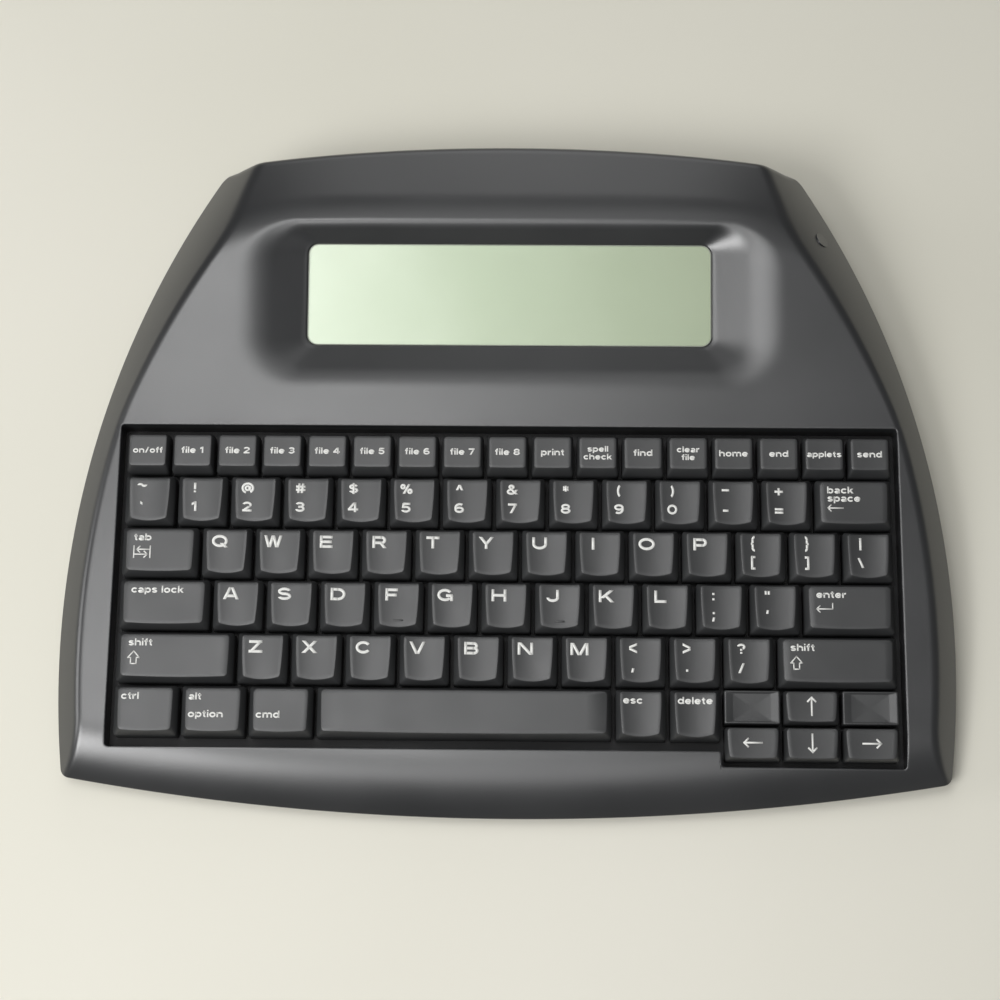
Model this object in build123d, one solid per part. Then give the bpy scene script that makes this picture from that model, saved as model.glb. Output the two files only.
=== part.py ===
from build123d import *
from math import asin, cos, radians, sin, sqrt, tan
import os

# Electronic word processor: a one-piece slab with a full keyboard on a sloping deck and a
# fixed display in a dished hump behind it. Millimetres, +Z up, origin under the centre of the
# case on the surface it stands on. +X is the typist's right, +Y points away from the typist.
#
# Most of the case lies square to its deck, so it is drawn in deck axes: x as above, y up the
# slope from the rear edge of the number row, w out of the deck.

# ---------------------------------------------------------------- case
case_width = 320.0
front_reach = 121.5        # from the number row's rear edge to the front edge, on the slope
rear_reach = 128.2
side_widest = 61.3         # how far in front of the number row's rear edge the case is widest
side_radius = 338.0
front_radius = 920.0
rear_radius = 620.0
front_corner_radius = 4.0
rear_corner_radius = 7.0
deck_tilt = 6.0            # degrees
deck_height = 27.4         # the deck's height at the number row's rear edge
rim_drop = 9.3             # the parting plane lies this far under the deck
bevel_lean = 41.0          # degrees from square to the deck
top_wall = 2.5
bottom_wall = 2.2
floor_thickness = 1.8
bottom_draft = 12.0        # degrees
bottom_edge = 1.0          # its chamfer
roll_start = 99.5          # where the palm rest begins to roll off
roll_radius = 34.8
slope_start = 20.0         # where the deck turns up into the display slope
slope_rise = 8.3           # degrees against the deck
slope_blend = 120.0
ridge_y = 93.5
ridge_blend = 25.0
rear_fall = 17.3           # degrees against the deck
crease_radius = 3.0

# ---------------------------------------------------------------- display
display_tilt = 13.6        # degrees against the table
display_y = 64.2           # the window's centre
display_z = 35.5
window_width = 148.5
window_depth = 38.0
window_corner = 3.8
dish_depth = 5.0
dish_side = 19.7           # how far the dish spreads past the window, on each side
dish_front = 14.6
dish_rear = 9.8
dish_corner = 14.0
dish_run = 1.7             # times its depth, so that it passes clear of the slope
lens_thickness = 1.2
lens_flange = 3.8
lens_recess = 0.2
lens_lip = 1.2             # case material left over the lens flange
panel_border = 2.0
panel_thickness = 2.8
lcd_frame_wall = 2.8
lcd_frame_depth = 5.0
lcd_ledge = 1.4
lcd_ear = 9.0
lcd_board_thickness = 1.4
lcd_post_radius = 2.4

# ---------------------------------------------------------------- keyboard
pitch = 19.05
row_count = 5
row_units = 14.5
function_count = 17
function_depth = 15.9
cluster_start = 11.25      # in key units from the left
cluster_depth = 12.9
key_gap = 1.2              # between the feet of two neighbouring caps
key_travel = 3.0
key_top = 2.0
skirt_level = -6.1
cap_wall = 1.2
cap_ceiling = -0.3
side_lean = 1.5
rear_lean = 0.9
front_lean = 1.8
thumb_dish = 0.7
stem_width = 4.8
stem_foot = -7.6
guide_wall = 0.9
guide_top = -5.4
plate_top = -9.4
plate_thickness = 1.2
membrane_thickness = 0.5
dome_room = 0.6            # between plate and membrane, the depth of the dome mat
dome_foot_width = 5.6
dome_top_width = 3.4
backplate_thickness = 0.8
well_side_gap = 2.2
well_rear_gap = 2.9
well_front_gap = 2.8
well_cluster_gap = 1.4
well_step_gap = 0.4
well_corner = 1.0
well_skirt = 1.5
plate_margin = 3.2
filler_top = 0.6

# ---------------------------------------------------------------- electronics and batteries
board_thickness = 1.6
board_level = 19.4
board_left, board_right = -22.0, 92.0
board_front, board_rear = 60.0, 112.0
board_post_radius = 2.6
port_wall = 0.4
usb_b_width, usb_b_height, usb_b_depth = 12.0, 10.9, 16.0
usb_a_width, usb_a_height, usb_a_depth = 13.2, 6.6, 14.0
usb_a_x = 26.0
port_inset = 0.8
cell_radius = 7.15
cell_length = 50.0
cell_count = 3
cell_pitch = 14.9
cell_cap_radius, cell_cap_height = 2.7, 1.0
bay_x = -52.0
bay_front = 57.5
bay_wall = 1.5
contact_thickness = 0.4
contact_room = 1.6
contact_pad = 3.0
door_tongue = 1.2
coin_radius, coin_thickness = 10.0, 3.2
coin_place = (22.0, 20.0)  # from the board's left front corner
ribbon_thickness = 0.3
ribbon_width = 22.0
chips = [(50, 101, 20, 14, 1.4), (19, 80, 14, 10, 1.2), (76, 80, 12, 8, 1.2)]   # x, y, size, height
ribbon_bend = 2.0
ribbon_reach = 7.0
keyboard_ribbon_x = 62.0
display_ribbon_x = 38.5

# ---------------------------------------------------------------- feet, screws, small parts
foot_height = 1.6
foot_radius = 6.0
foot_recess = 0.6
front_foot = (132.0, -98.0)
rear_foot = (98.0, 96.0)
screw_places = [(55.0, -110.6), (149.6, -30.0), (88.0, 108.0)]   # in deck axes, mirrored
boss_radius = 3.4          # in the top case
lower_boss_radius = 4.0
screw_hole_radius = 1.7
screw_seat_radius = 2.9
screw_seat = 3.7           # over the table
boss_meeting = 12.0
plug_radius = 3.0
plug_y, plug_w = 91.9, -1.4
plug_flange, plug_flange_thickness = 1.2, 1.0

# ---------------------------------------------------------------- clearances
fit = 0.3                  # between parts that move, and round drop-in parts
snug = 0.15                # round parts that stay put

far = 400.0                # longer than the part in any direction
over = 1.0                 # what a cut runs past the surface it opens

# ---------------------------------------------------------------- worked out once
plug_depth = top_wall + snug
tilt_sin, tilt_cos = sin(radians(deck_tilt)), cos(radians(deck_tilt))
middle = (rear_reach - front_reach) / 2
deck_y = -middle * tilt_cos - rim_drop * tilt_sin
deck_plane = Plane((0, deck_y, deck_height), x_dir=(1, 0, 0), z_dir=(0, -tilt_sin, tilt_cos))
deck = deck_plane.location
display_plane = Plane(
    (0, display_y, display_z),
    x_dir=(1, 0, 0),
    z_dir=(0, -sin(radians(display_tilt)), cos(radians(display_tilt))),
)
display = display_plane.location
floor_level = foot_height + floor_thickness
block_width = row_units * pitch
block_left = -block_width / 2
guide_width = stem_width + 2 * fit
membrane_top = plate_top - plate_thickness - dome_room
panel_level = -lens_lip - lens_thickness - snug * 2
well_tail = function_depth + well_rear_gap + plate_margin      # the keyboard plate's rear edge


def height_at(y, w):
    """The height over the table of a place given in deck axes."""
    return deck_height + y * tilt_sin + w * tilt_cos


def world_y(y, w):
    """The same place's distance behind the origin."""
    return deck_y + y * tilt_cos - w * tilt_sin


def slab(face, low, high):
    """A straight prism of a flat sketch between two levels."""
    return extrude(Pos(0, 0, low) * face, high - low)


def tapered(wide, deep, low, high, side, front, rear):
    """A flat-sided block that draws in by these amounts towards its top."""
    wedge = Wedge(wide, high - low, deep, side, rear, wide - side, deep - front, align=None)
    return Pos(-wide / 2, deep / 2, low) * Rot(X=90) * wedge


# ---------------------------------------------------------------- the case's outer and inner forms
def outline(level, side_inset, front_inset):
    """The case's plan at one level: four large discs that meet in four rounded corners."""
    plan = Pos(0, front_radius - front_reach) * Circle(front_radius - front_inset)
    plan &= Pos(0, rear_reach - rear_radius) * Circle(rear_radius - side_inset)
    for side in (-1, 1):
        centre = Pos(side * (case_width / 2 - side_radius), -side_widest)
        plan &= centre * Rot(Z=90) * Circle(side_radius - side_inset)
    plan = fillet(plan.vertices().group_by(Axis.Y)[-1], rear_corner_radius)
    plan = fillet(plan.vertices().group_by(Axis.Y)[0], front_corner_radius)
    return Pos(0, 0, level) * plan


def side_profile(skin):
    """The deck, display slope, ridge and rear fall, seen from the side, lowered by the wall."""
    peak = (ridge_y - slope_start) * tan(radians(slope_rise))
    fall = (far - ridge_y) * tan(radians(rear_fall))
    top = FilletPolyline(
        (-far, -skin),
        (slope_start, -skin),
        (ridge_y, peak - skin),
        (far, peak - fall - skin),
        radius=[slope_blend, ridge_blend],
    )
    under = Polyline((far, peak - fall - skin), (far, -far), (-far, -far), (-far, -skin))
    return make_face(Plane.YZ * (top + under))


def palm_roll(skin):
    """What is cut away in front of the palm rest: round outside, along its chord inside."""
    if skin:
        drop = (far - roll_start) * tan(asin((front_reach - roll_start) / roll_radius) / 2)
        corners = (-roll_start, -skin), (-roll_start, far), (-far, far), (-far, -skin - drop)
        profile = Polygon(*corners, align=None)
    else:
        profile = Pos(-roll_start - far / 2, far / 2 - roll_radius) * Rectangle(far, far)
        profile -= Pos(-roll_start, -roll_radius) * Circle(roll_radius)
    return revolve(Plane.YZ * profile, Axis((0, front_radius - front_reach, 0), (0, 0, 1)))


def top_form(skin):
    """The top case's form, from the parting plane up; with a skin, its hollow."""
    low = -rim_drop if not skin else -rim_drop - over
    high = ridge_y * tan(radians(slope_rise)) + over
    side_skin = skin / cos(radians(bevel_lean))
    sections = []
    for level in (low, high):
        rise = level + rim_drop
        side = side_skin + rise * tan(radians(bevel_lean))
        sections.append(outline(level, side, skin + rise * tan(radians(deck_tilt))))
    form = loft(sections, ruled=True)
    form &= extrude(side_profile(skin), far / 2, both=True)
    form -= palm_roll(skin)
    if skin:
        return form
    creases = form.edges().filter_by(GeomType.BSPLINE)
    return fillet([edge for edge in creases if edge.length > case_width / 5], crease_radius)


def bottom_form(skin):
    """The bottom case's form, from the parting plane down to its floor; with a skin, its hollow."""
    high = -rim_drop if not skin else over - rim_drop
    low = -rim_drop - height_at(rear_reach, -rim_drop) / tilt_cos
    sections = []
    for level in (low, high):
        inset = skin - (level + rim_drop) * tan(radians(bottom_draft))
        sections.append(outline(level, inset, inset))
    form = deck * loft(sections, ruled=True)
    bottom = foot_height if not skin else floor_level
    form &= Pos(0, 0, bottom + far / 2) * Box(far, far, far)
    if skin:
        return form
    return chamfer(form.faces().sort_by(Axis.Z)[0].edges(), bottom_edge)


def dish(grow):
    """The hollow round the display, from the window's edge up; grown, its square backing."""
    side, front, rear = (dish_run * spread for spread in (dish_side, dish_front, dish_rear))
    high = dish_run * dish_depth
    if grow:
        wide, deep = window_width + 2 * grow, window_depth + 2 * grow
        return display * tapered(wide, deep, -grow, high - grow, -side, -front, -rear)
    corner = window_corner + dish_run * (dish_corner - window_corner)
    low_face = RectangleRounded(window_width, window_depth, window_corner)
    high_face = RectangleRounded(window_width + 2 * side, window_depth + front + rear, corner)
    high_place = Pos(0, (rear - front) / 2, high)
    return display * loft([low_face, high_place * high_face], ruled=True)


def well_outline(grow):
    """The keyboard's well: a rectangle with a deeper part at the right for the arrow keys."""
    side = block_width / 2 + well_side_gap
    rear = function_depth + well_rear_gap
    front = -row_count * pitch - well_front_gap
    step = block_left + cluster_start * pitch - well_step_gap
    cluster = pitch * (1 - row_count) - 2 * cluster_depth - well_cluster_gap
    plan = Pos(0, (rear + front) / 2) * Rectangle(2 * side, rear - front)
    plan += Pos((step + side) / 2, (rear + cluster) / 2) * Rectangle(side - step, rear - cluster)
    plan = fillet(plan.vertices(), well_corner)
    return offset(plan, grow) if grow else plan


# ---------------------------------------------------------------- keys
def key_rows():
    """(node, units) of each key, row by row from the rear."""
    def letters(text):
        return [("key_" + letter, 1) for letter in text]

    sign = [("punctuation_keys", 1)]
    digits = [("number_keys", 1)] * 10
    bottom = [("modifier_keys", 1.25)] * 3 + [("space_bar", 5.5)] + [("modifier_keys", 1)] * 2
    return [
        sign + digits + sign * 2 + [("backspace_key", 1.5)],
        [("tab_key", 1.5)] + letters("qwertyuiop") + sign * 3,
        [("caps_lock_key", 1.75)] + letters("asdfghjkl") + sign * 2 + [("enter_key", 1.75)],
        [("left_shift_key", 2.25)] + letters("zxcvbnm") + sign * 3 + [("right_shift_key", 2.25)],
        bottom,
    ]


def key_places():
    """(node, x, y, width, depth) of every cell that holds a moving key."""
    places = []
    step = block_width / function_count
    for n in range(function_count):
        places.append(("function_keys", block_left + (n + 0.5) * step, function_depth / 2,
                       step, function_depth))
    for row, keys in enumerate(key_rows()):
        left = block_left
        for node, units in keys:
            width = units * pitch
            places.append((node, left + width / 2, -(row + 0.5) * pitch, width, pitch))
            left += width
    for column, row in ((1, 0), (0, 1), (1, 1), (2, 1)):
        places.append(("arrow_keys", *cluster_cell(column, row)))
    return places


def cluster_cell(column, row):
    """(x, y, width, depth) of one cell of the arrow cluster."""
    width = (row_units - cluster_start) * pitch / 3
    x = block_left + cluster_start * pitch + (column + 0.5) * width
    return x, (1 - row_count) * pitch - (row + 0.5) * cluster_depth, width, cluster_depth


def stem_offsets(width):
    """Where a cap of this cell width has its stems; the first stands on the dome."""
    edge = (width - key_gap) / 2 - cap_wall - side_lean
    reach = edge - guide_width / 2 - guide_wall - fit
    return [0] if reach < guide_width + 2 * guide_wall else [0, -reach, reach]


def block(width, depth, foot, top, inset):
    """A tapered block with a key cap's lean on each side."""
    share = (top - skirt_level) / (key_top - skirt_level)
    leans = (lean * share for lean in (side_lean, front_lean, rear_lean))
    return tapered(width - 2 * inset, depth - 2 * inset, foot, top, *leans)


def keycap(width, depth):
    """A hollow cap on its stems, about the centre of its cell; one unit wide, it is dished."""
    wide, deep = width - key_gap, depth - key_gap
    cap = block(wide, deep, skirt_level, key_top, 0)
    if width == pitch:
        face = wide - 2 * side_lean
        dish_radius = face**2 / (8 * thumb_dish) + thumb_dish / 2
        roller = Rot(X=90) * Cylinder(dish_radius, 2 * depth)
        cap -= Pos(0, 0, key_top - thumb_dish + dish_radius) * roller
    cap -= block(wide, deep, skirt_level, cap_ceiling, cap_wall)
    for x in stem_offsets(width):
        cap += slab(Pos(x, 0) * Rectangle(stem_width, stem_width), stem_foot, cap_ceiling)
    return cap


def make_keys():
    """Every key node: one solid, or a group of them where one node stands for a set."""
    shapes, nodes = {}, {}
    for node, x, y, width, depth in key_places():
        size = round(width, 3), round(depth, 3)
        if size not in shapes:
            shapes[size] = keycap(width, depth)
        nodes.setdefault(node, []).append(deck * Pos(x, y) * shapes[size])
    return nodes


def make_filler_keys():
    """The two blanks beside the up arrow, fixed to the plate."""
    blanks = []
    for column in (0, 2):
        x, y, width, depth = cluster_cell(column, 0)
        blank = block(width - key_gap, depth - key_gap, skirt_level, filler_top, 0)
        foot = Rectangle(width - key_gap, depth - key_gap)
        blanks.append(deck * Pos(x, y) * (blank + slab(foot, plate_top, skirt_level)))
    return blanks


# ---------------------------------------------------------------- keyboard carrier
def stem_squares(size, domes_only=False):
    """Squares at every stem, in deck axes."""
    return [
        Pos(x + dx, y) * Rectangle(size, size)
        for _, x, y, width, _ in key_places()
        for dx in stem_offsets(width)[: 1 if domes_only else None]
    ]


def make_keyboard_frame():
    """The moulded plate with a square guide for each stem."""
    frame = slab(well_outline(plate_margin), plate_top - plate_thickness, plate_top)
    guides = Sketch() + stem_squares(guide_width + 2 * guide_wall)
    holes = Sketch() + stem_squares(guide_width)
    frame += slab(guides, plate_top, guide_top)
    return deck * (frame - slab(holes, plate_top - 2 * plate_thickness, guide_top))


def make_key_domes():
    """The rubber springs, one under each key."""
    draw = (dome_foot_width - dome_top_width) / 2
    dome = tapered(dome_foot_width, dome_foot_width, membrane_top, stem_foot, draw, draw, draw)
    return [deck * Pos(x, y) * dome for _, x, y, _, _ in key_places()]


def make_switch_membrane():
    plan = well_outline(plate_margin - snug)
    return deck * slab(plan, membrane_top - membrane_thickness, membrane_top)


def make_keyboard_backplate():
    """The steel plate under the membrane, its edge turned up but for a slot for the cable."""
    low = membrane_top - membrane_thickness - backplate_thickness
    plate = slab(well_outline(plate_margin + backplate_thickness), low, low + backplate_thickness)
    edge = well_outline(plate_margin + backplate_thickness) - well_outline(plate_margin)
    slot = Rectangle(ribbon_width + 2 * fit, 4 * backplate_thickness)
    edge -= Pos(keyboard_ribbon_x, well_tail) * slot
    return deck * (plate + slab(edge, low, plate_top - plate_thickness / 2))


# ---------------------------------------------------------------- display parts
def centred(width, depth, low, high, corner=0.0):
    """A block about the display window's centre line, between two levels."""
    face = RectangleRounded(width, depth, corner) if corner else Rectangle(width, depth)
    return slab(face, low, high)


def lens_opening(depth):
    """The window and, from below, the rebate for the lens flange."""
    window = centred(window_width, window_depth, -lens_lip - over, depth, window_corner)
    wide = window_width + 2 * lens_flange + 2 * snug
    deep = window_depth + 2 * lens_flange + 2 * snug
    return display * (window + centred(wide, deep, -far, -lens_lip, window_corner))


def make_display_window():
    pad = centred(window_width - 2 * snug, window_depth - 2 * snug, -lens_lip, -lens_recess,
                  window_corner - snug)
    flange = centred(window_width + 2 * lens_flange, window_depth + 2 * lens_flange,
                     -lens_lip - lens_thickness, -lens_lip, window_corner)
    return display * (pad + flange)


def make_lcd_panel():
    wide = window_width + 2 * panel_border
    deep = window_depth + 2 * panel_border
    return display * centred(wide, deep, panel_level - panel_thickness, panel_level)


def lcd_ear_places():
    x = window_width / 2 + panel_border + lcd_ear
    return [(side * x, end * window_depth / 2) for side in (-1, 1) for end in (-1, 1)]


def make_lcd_frame():
    """The tray that holds the display glass, with four ears under posts of the top case."""
    wide = window_width + 2 * panel_border + 2 * snug
    deep = window_depth + 2 * panel_border + 2 * snug
    low = panel_level - lcd_frame_depth
    tray = centred(wide + 2 * lcd_frame_wall, deep + 2 * lcd_frame_wall, low, panel_level)
    for x, y in lcd_ear_places():
        run = x / abs(x) * (abs(x) + lcd_post_radius)
        tray += Pos(run / 2, y) * centred(abs(run), 2 * lcd_post_radius, low, low + lcd_ledge)
    tray -= centred(wide, deep, panel_level - panel_thickness, 0)
    inner = window_width - panel_border, window_depth - panel_border
    return display * (tray - centred(*inner, low - over, 0))


def make_lcd_board():
    wide = window_width + 2 * panel_border
    deep = window_depth + 2 * panel_border
    high = panel_level - lcd_frame_depth
    return display * centred(wide, deep, high - lcd_board_thickness, high)


# ---------------------------------------------------------------- batteries
bay_width = cell_count * cell_pitch + 2 * fit
bay_depth = cell_length + 2 * contact_room
bay_roof = floor_level + door_tongue + fit + 2 * cell_radius + 2 * fit


def bay_box(grow, low, high):
    """The battery bay as a block, grown by a wall on its four sides."""
    plan = Rectangle(bay_width + 2 * grow, bay_depth + 2 * grow)
    return slab(Pos(bay_x, bay_front + bay_depth / 2) * plan, low, high)


def door_space(grow):
    """The battery door's section, run out through the rear wall."""
    wide = bay_width / 2 - door_tongue
    run = far / 2 - bay_front
    plate = Pos(bay_x, bay_front + run / 2, foot_height) * Box(
        2 * (wide + grow), run, floor_thickness + fit, align=(Align.CENTER, Align.CENTER, Align.MIN))
    tongues = Pos(bay_x, bay_front + run / 2, floor_level + fit - grow) * Box(
        2 * (wide + door_tongue - fit + grow), run, door_tongue - fit + 2 * grow,
        align=(Align.CENTER, Align.CENTER, Align.MIN))
    return plate + tongues


def make_battery_door():
    """Slides out to the rear, hooked over the floor by a tongue along each side."""
    space = Pos(0, fit, 0) * door_space(0)
    return space & bottom_form(0)


def make_battery_cells():
    level = floor_level + door_tongue + fit + cell_radius
    cells = []
    for n in range(cell_count):
        x = bay_x + (n - (cell_count - 1) / 2) * cell_pitch
        end = bay_front + contact_room
        body = Cylinder(cell_radius, cell_length - cell_cap_height)
        cap = Pos(0, 0, -cell_length / 2) * Cylinder(cell_cap_radius, cell_cap_height)
        middle_y = end + (cell_length - cell_cap_height) / 2
        cell = Pos(x, middle_y, level) * Rot(X=90) * (body + cap)
        cells.append(cell if n % 2 == 0 else cell.rotate(
            Axis((x, end + cell_length / 2, level), (0, 0, 1)), 180))
    return cells


def make_battery_contacts():
    """A sprung strip at each end of the bay, held to its wall."""
    level = floor_level + door_tongue + fit + cell_radius
    strips = []
    for y in (bay_front, bay_front + bay_depth - contact_thickness):
        strip = Pos(bay_x, y + contact_thickness / 2, level) * Box(
            bay_width - 2 * cell_radius, contact_thickness, cell_radius)
        inward = 1 if y == bay_front else -1
        reach = contact_room - contact_thickness
        for n in range(cell_count):
            x = bay_x + (n - (cell_count - 1) / 2) * cell_pitch
            y_mid = y + contact_thickness / 2 + inward * (contact_thickness + reach) / 2
            strip += Pos(x, y_mid, level) * Box(contact_pad, reach, contact_pad)
        strips.append(strip)
    return strips


# ---------------------------------------------------------------- boards and ports
board_x, board_y = (board_left + board_right) / 2, (board_front + board_rear) / 2
board_top = board_level + board_thickness


def board_post_places():
    inset = 2 * board_post_radius
    return [
        (x, y)
        for x in (board_left + inset, board_right - inset)
        for y in (board_front + inset, board_rear - 4 * inset)
    ]


def make_main_board():
    board = Pos(board_x, board_y, board_level) * Box(
        board_right - board_left, board_rear - board_front, board_thickness,
        align=(Align.CENTER, Align.CENTER, Align.MIN))
    for x, y, wide, deep, high in chips:
        board += Pos(x, y, board_top) * Box(
            wide, deep, high, align=(Align.CENTER, Align.CENTER, Align.MIN))
    return board


def rear_wall_y(x, z):
    """Where the outside of the rear wall is, under the parting plane, at a width and height."""
    drop = (height_at(rear_reach, -rim_drop) - z) / tilt_cos
    sagitta = rear_radius - sqrt(rear_radius**2 - x**2)
    y = rear_reach - sagitta - drop * tan(radians(bottom_draft))
    return world_y(y, -rim_drop - drop)


def port_place(x, height):
    return Pos(x, rear_wall_y(abs(x) + usb_a_width / 2, board_top) - port_inset, board_top + height / 2)


def port_shell(x, width, height, depth):
    """A socket's sheet-metal shell, open to the rear and closed at its inner end."""
    block_out = Box(width, depth, height, align=(Align.CENTER, Align.MAX, Align.CENTER))
    hollow = Pos(0, over) * Box(
        width - 2 * port_wall, depth - 2 * port_wall + over, height - 2 * port_wall,
        align=(Align.CENTER, Align.MAX, Align.CENTER))
    return port_place(x, height) * (block_out - hollow)


def port_cutout(x, width, height):
    return port_place(x, height) * Box(width + 2 * fit, 2 * usb_b_depth, height + 2 * fit)


def port_slot(x, width):
    """The slot in the bottom case's rear wall that a socket drops into, open at the top."""
    slot = Box(width + 2 * fit, 2 * usb_b_depth, far, align=(Align.CENTER, Align.CENTER, Align.MIN))
    return port_place(x, -2 * fit) * slot


def port_tongue():
    """What the top case lets down over the low socket, to fill the rest of its slot."""
    wall = bottom_form(0) - bottom_form(bottom_wall)
    span = Box(usb_a_width, 2 * usb_b_depth, far, align=(Align.CENTER, Align.CENTER, Align.MIN))
    return port_place(usb_a_x, 2 * (usb_a_height + fit)) * span & wall


def make_backup_cell():
    x, y = coin_place
    return upright(board_left + x, board_front + y, coin_radius, board_top, board_top + coin_thickness)


def strip_cable(x, points):
    """A flat cable: a thin strip bent along a route of (y, z) points."""
    strip = trace(FilletPolyline(*points, radius=ribbon_bend), ribbon_thickness)
    return Pos(x) * extrude(Plane.YZ * strip, ribbon_width / 2, both=True)


def make_ribbon_cables():
    """One flat cable from the membrane to the main board, one from the display board to it."""
    level = membrane_top - membrane_thickness / 2
    landing = board_top + ribbon_thickness / 2
    keyboard = [
        (world_y(well_tail, level), height_at(well_tail, level)),
        (board_front - ribbon_reach, landing),
        (board_front + ribbon_reach, landing),
    ]
    under = panel_level - lcd_frame_depth - lcd_board_thickness - ribbon_thickness / 2
    lies, leaves = [(display * Pos(0, y, under)).position for y in (0, window_depth / 3)]
    screen = [
        (lies.Y, lies.Z),
        (leaves.Y, leaves.Z),
        (leaves.Y + ribbon_reach, landing),
        (leaves.Y + 2 * ribbon_reach, landing),
    ]
    return [strip_cable(keyboard_ribbon_x, keyboard), strip_cable(display_ribbon_x, screen)]


# ---------------------------------------------------------------- screws, feet, plug
def screw_sites():
    """(x, y, meeting height) of each screw boss, in the part's own frame."""
    sites = []
    for x, y in screw_places:
        meet = min(height_at(y, -rim_drop), boss_meeting)
        sites += [(side * x, world_y(y, -rim_drop), meet) for side in (-1, 1)]
    return sites


def upright(x, y, radius, low, high):
    return Pos(x, y, low) * Cylinder(
        radius, high - low, align=(Align.CENTER, Align.CENTER, Align.MIN))


def foot_places():
    return [(side * x, y) for x, y in (front_foot, rear_foot) for side in (-1, 1)]


def make_rubber_feet():
    return [upright(x, y, foot_radius, 0, foot_height + foot_recess) for x, y in foot_places()]


def plug_location():
    """On the right bevel, with the location's z axis out of the surface."""
    lean = radians(bevel_lean)
    radius = side_radius - (plug_w + rim_drop) * tan(lean)
    up = plug_y + side_widest
    across = sqrt(radius**2 - up**2)
    x = case_width / 2 - side_radius + across
    normal = (cos(lean) * across / radius, cos(lean) * up / radius, sin(lean))
    return deck * Plane((x, plug_y, plug_w), z_dir=normal).location


def make_side_plug():
    body = Cylinder(plug_radius, plug_depth, align=(Align.CENTER, Align.CENTER, Align.MAX))
    flange = Pos(0, 0, -plug_depth) * Cylinder(
        plug_radius + plug_flange, plug_flange_thickness,
        align=(Align.CENTER, Align.CENTER, Align.MAX))
    return plug_location() * (body + flange)


# ---------------------------------------------------------------- shells
def make_top_case():
    solid = deck * top_form(0) - dish(0)
    hollow = deck * top_form(top_wall) - dish(top_wall)
    shell = solid - hollow
    skirt = slab(well_outline(well_skirt), plate_top, -top_wall / 2)
    shell += deck * skirt
    for x, y, meet in screw_sites():
        shell += upright(x, y, boss_radius, meet, far) & solid
    low = panel_level - lcd_frame_depth + lcd_ledge
    for x, y in lcd_ear_places():
        shell += display * slab(Pos(x, y) * Circle(lcd_post_radius), low, far) & solid
    shell -= deck * slab(well_outline(0), plate_top - over, far)
    shell -= lens_opening(over)
    shell -= plug_location() * Cylinder(plug_radius + fit, 4 * plug_depth)
    shell -= port_cutout(0, usb_b_width, usb_b_height)
    shell += port_tongue()
    return shell


def make_bottom_case():
    shell = bottom_form(0)
    shell = shell - bottom_form(bottom_wall)
    shell += bay_box(bay_wall, floor_level, bay_roof + bay_wall)
    for x, y, meet in screw_sites():
        shell += upright(x, y, lower_boss_radius, floor_level - over, meet)
    for x, y in board_post_places():
        shell += upright(x, y, board_post_radius, floor_level - over, board_level)
    shell -= bay_box(0, 0, bay_roof) - Pos(0, 0, -far / 2 + floor_level) * Box(far, far, far)
    shell -= door_space(fit)
    for x, y, meet in screw_sites():
        shell -= upright(x, y, screw_hole_radius, 0, meet + over)
        shell -= upright(x, y, screw_seat_radius, 0, screw_seat)
    for x, y in foot_places():
        shell -= upright(x, y, foot_radius + snug, 0, foot_height + foot_recess)
    shell -= port_slot(0, usb_b_width)
    shell -= port_slot(usb_a_x, usb_a_width)
    return shell


def write(node, shape):
    solids = shape if isinstance(shape, list) else [shape]
    export_step(solids[0] if len(solids) == 1 else Compound(solids), f"parts/{node}.step")


def main():
    os.makedirs("parts", exist_ok=True)
    for node, solids in make_keys().items():
        write(node, solids)
    write("filler_keys", make_filler_keys())
    write("keyboard_frame", make_keyboard_frame())
    write("key_domes", make_key_domes())
    write("switch_membrane", make_switch_membrane())
    write("keyboard_backplate", make_keyboard_backplate())
    write("top_case", make_top_case())
    write("bottom_case", make_bottom_case())
    write("display_window", make_display_window())
    write("lcd_panel", make_lcd_panel())
    write("lcd_frame", make_lcd_frame())
    write("lcd_board", make_lcd_board())
    write("main_board", make_main_board())
    write("usb_b_port", port_shell(0, usb_b_width, usb_b_height, usb_b_depth))
    write("usb_a_port", port_shell(usb_a_x, usb_a_width, usb_a_height, usb_a_depth))
    write("backup_cell", make_backup_cell())
    write("ribbon_cables", make_ribbon_cables())
    write("battery_cells", make_battery_cells())
    write("battery_contacts", make_battery_contacts())
    write("battery_door", make_battery_door())
    write("rubber_feet", make_rubber_feet())
    write("side_plug", make_side_plug())


main()
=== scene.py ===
from math import atan2, cos, pi, radians, sin, sqrt, tan

import bmesh
import bpy
import numpy as np
from mathutils import Matrix, Vector


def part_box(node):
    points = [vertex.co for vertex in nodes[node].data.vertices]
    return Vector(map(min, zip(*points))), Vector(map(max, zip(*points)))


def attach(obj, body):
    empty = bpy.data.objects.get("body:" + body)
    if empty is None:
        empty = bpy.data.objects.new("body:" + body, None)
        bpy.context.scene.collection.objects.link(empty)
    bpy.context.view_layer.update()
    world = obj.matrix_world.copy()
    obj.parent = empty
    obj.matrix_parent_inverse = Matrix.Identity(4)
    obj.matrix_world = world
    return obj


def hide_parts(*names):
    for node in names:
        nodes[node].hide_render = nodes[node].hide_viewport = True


# Looks for the electronic word processor. The case, keys and lettering are drawn in the deck's
# own axes, in millimetres: x to the right, y up the slope from the rear edge of the number row,
# w out of the deck. Of the rest, the display has its own axes and the small parts the frame's.

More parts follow.
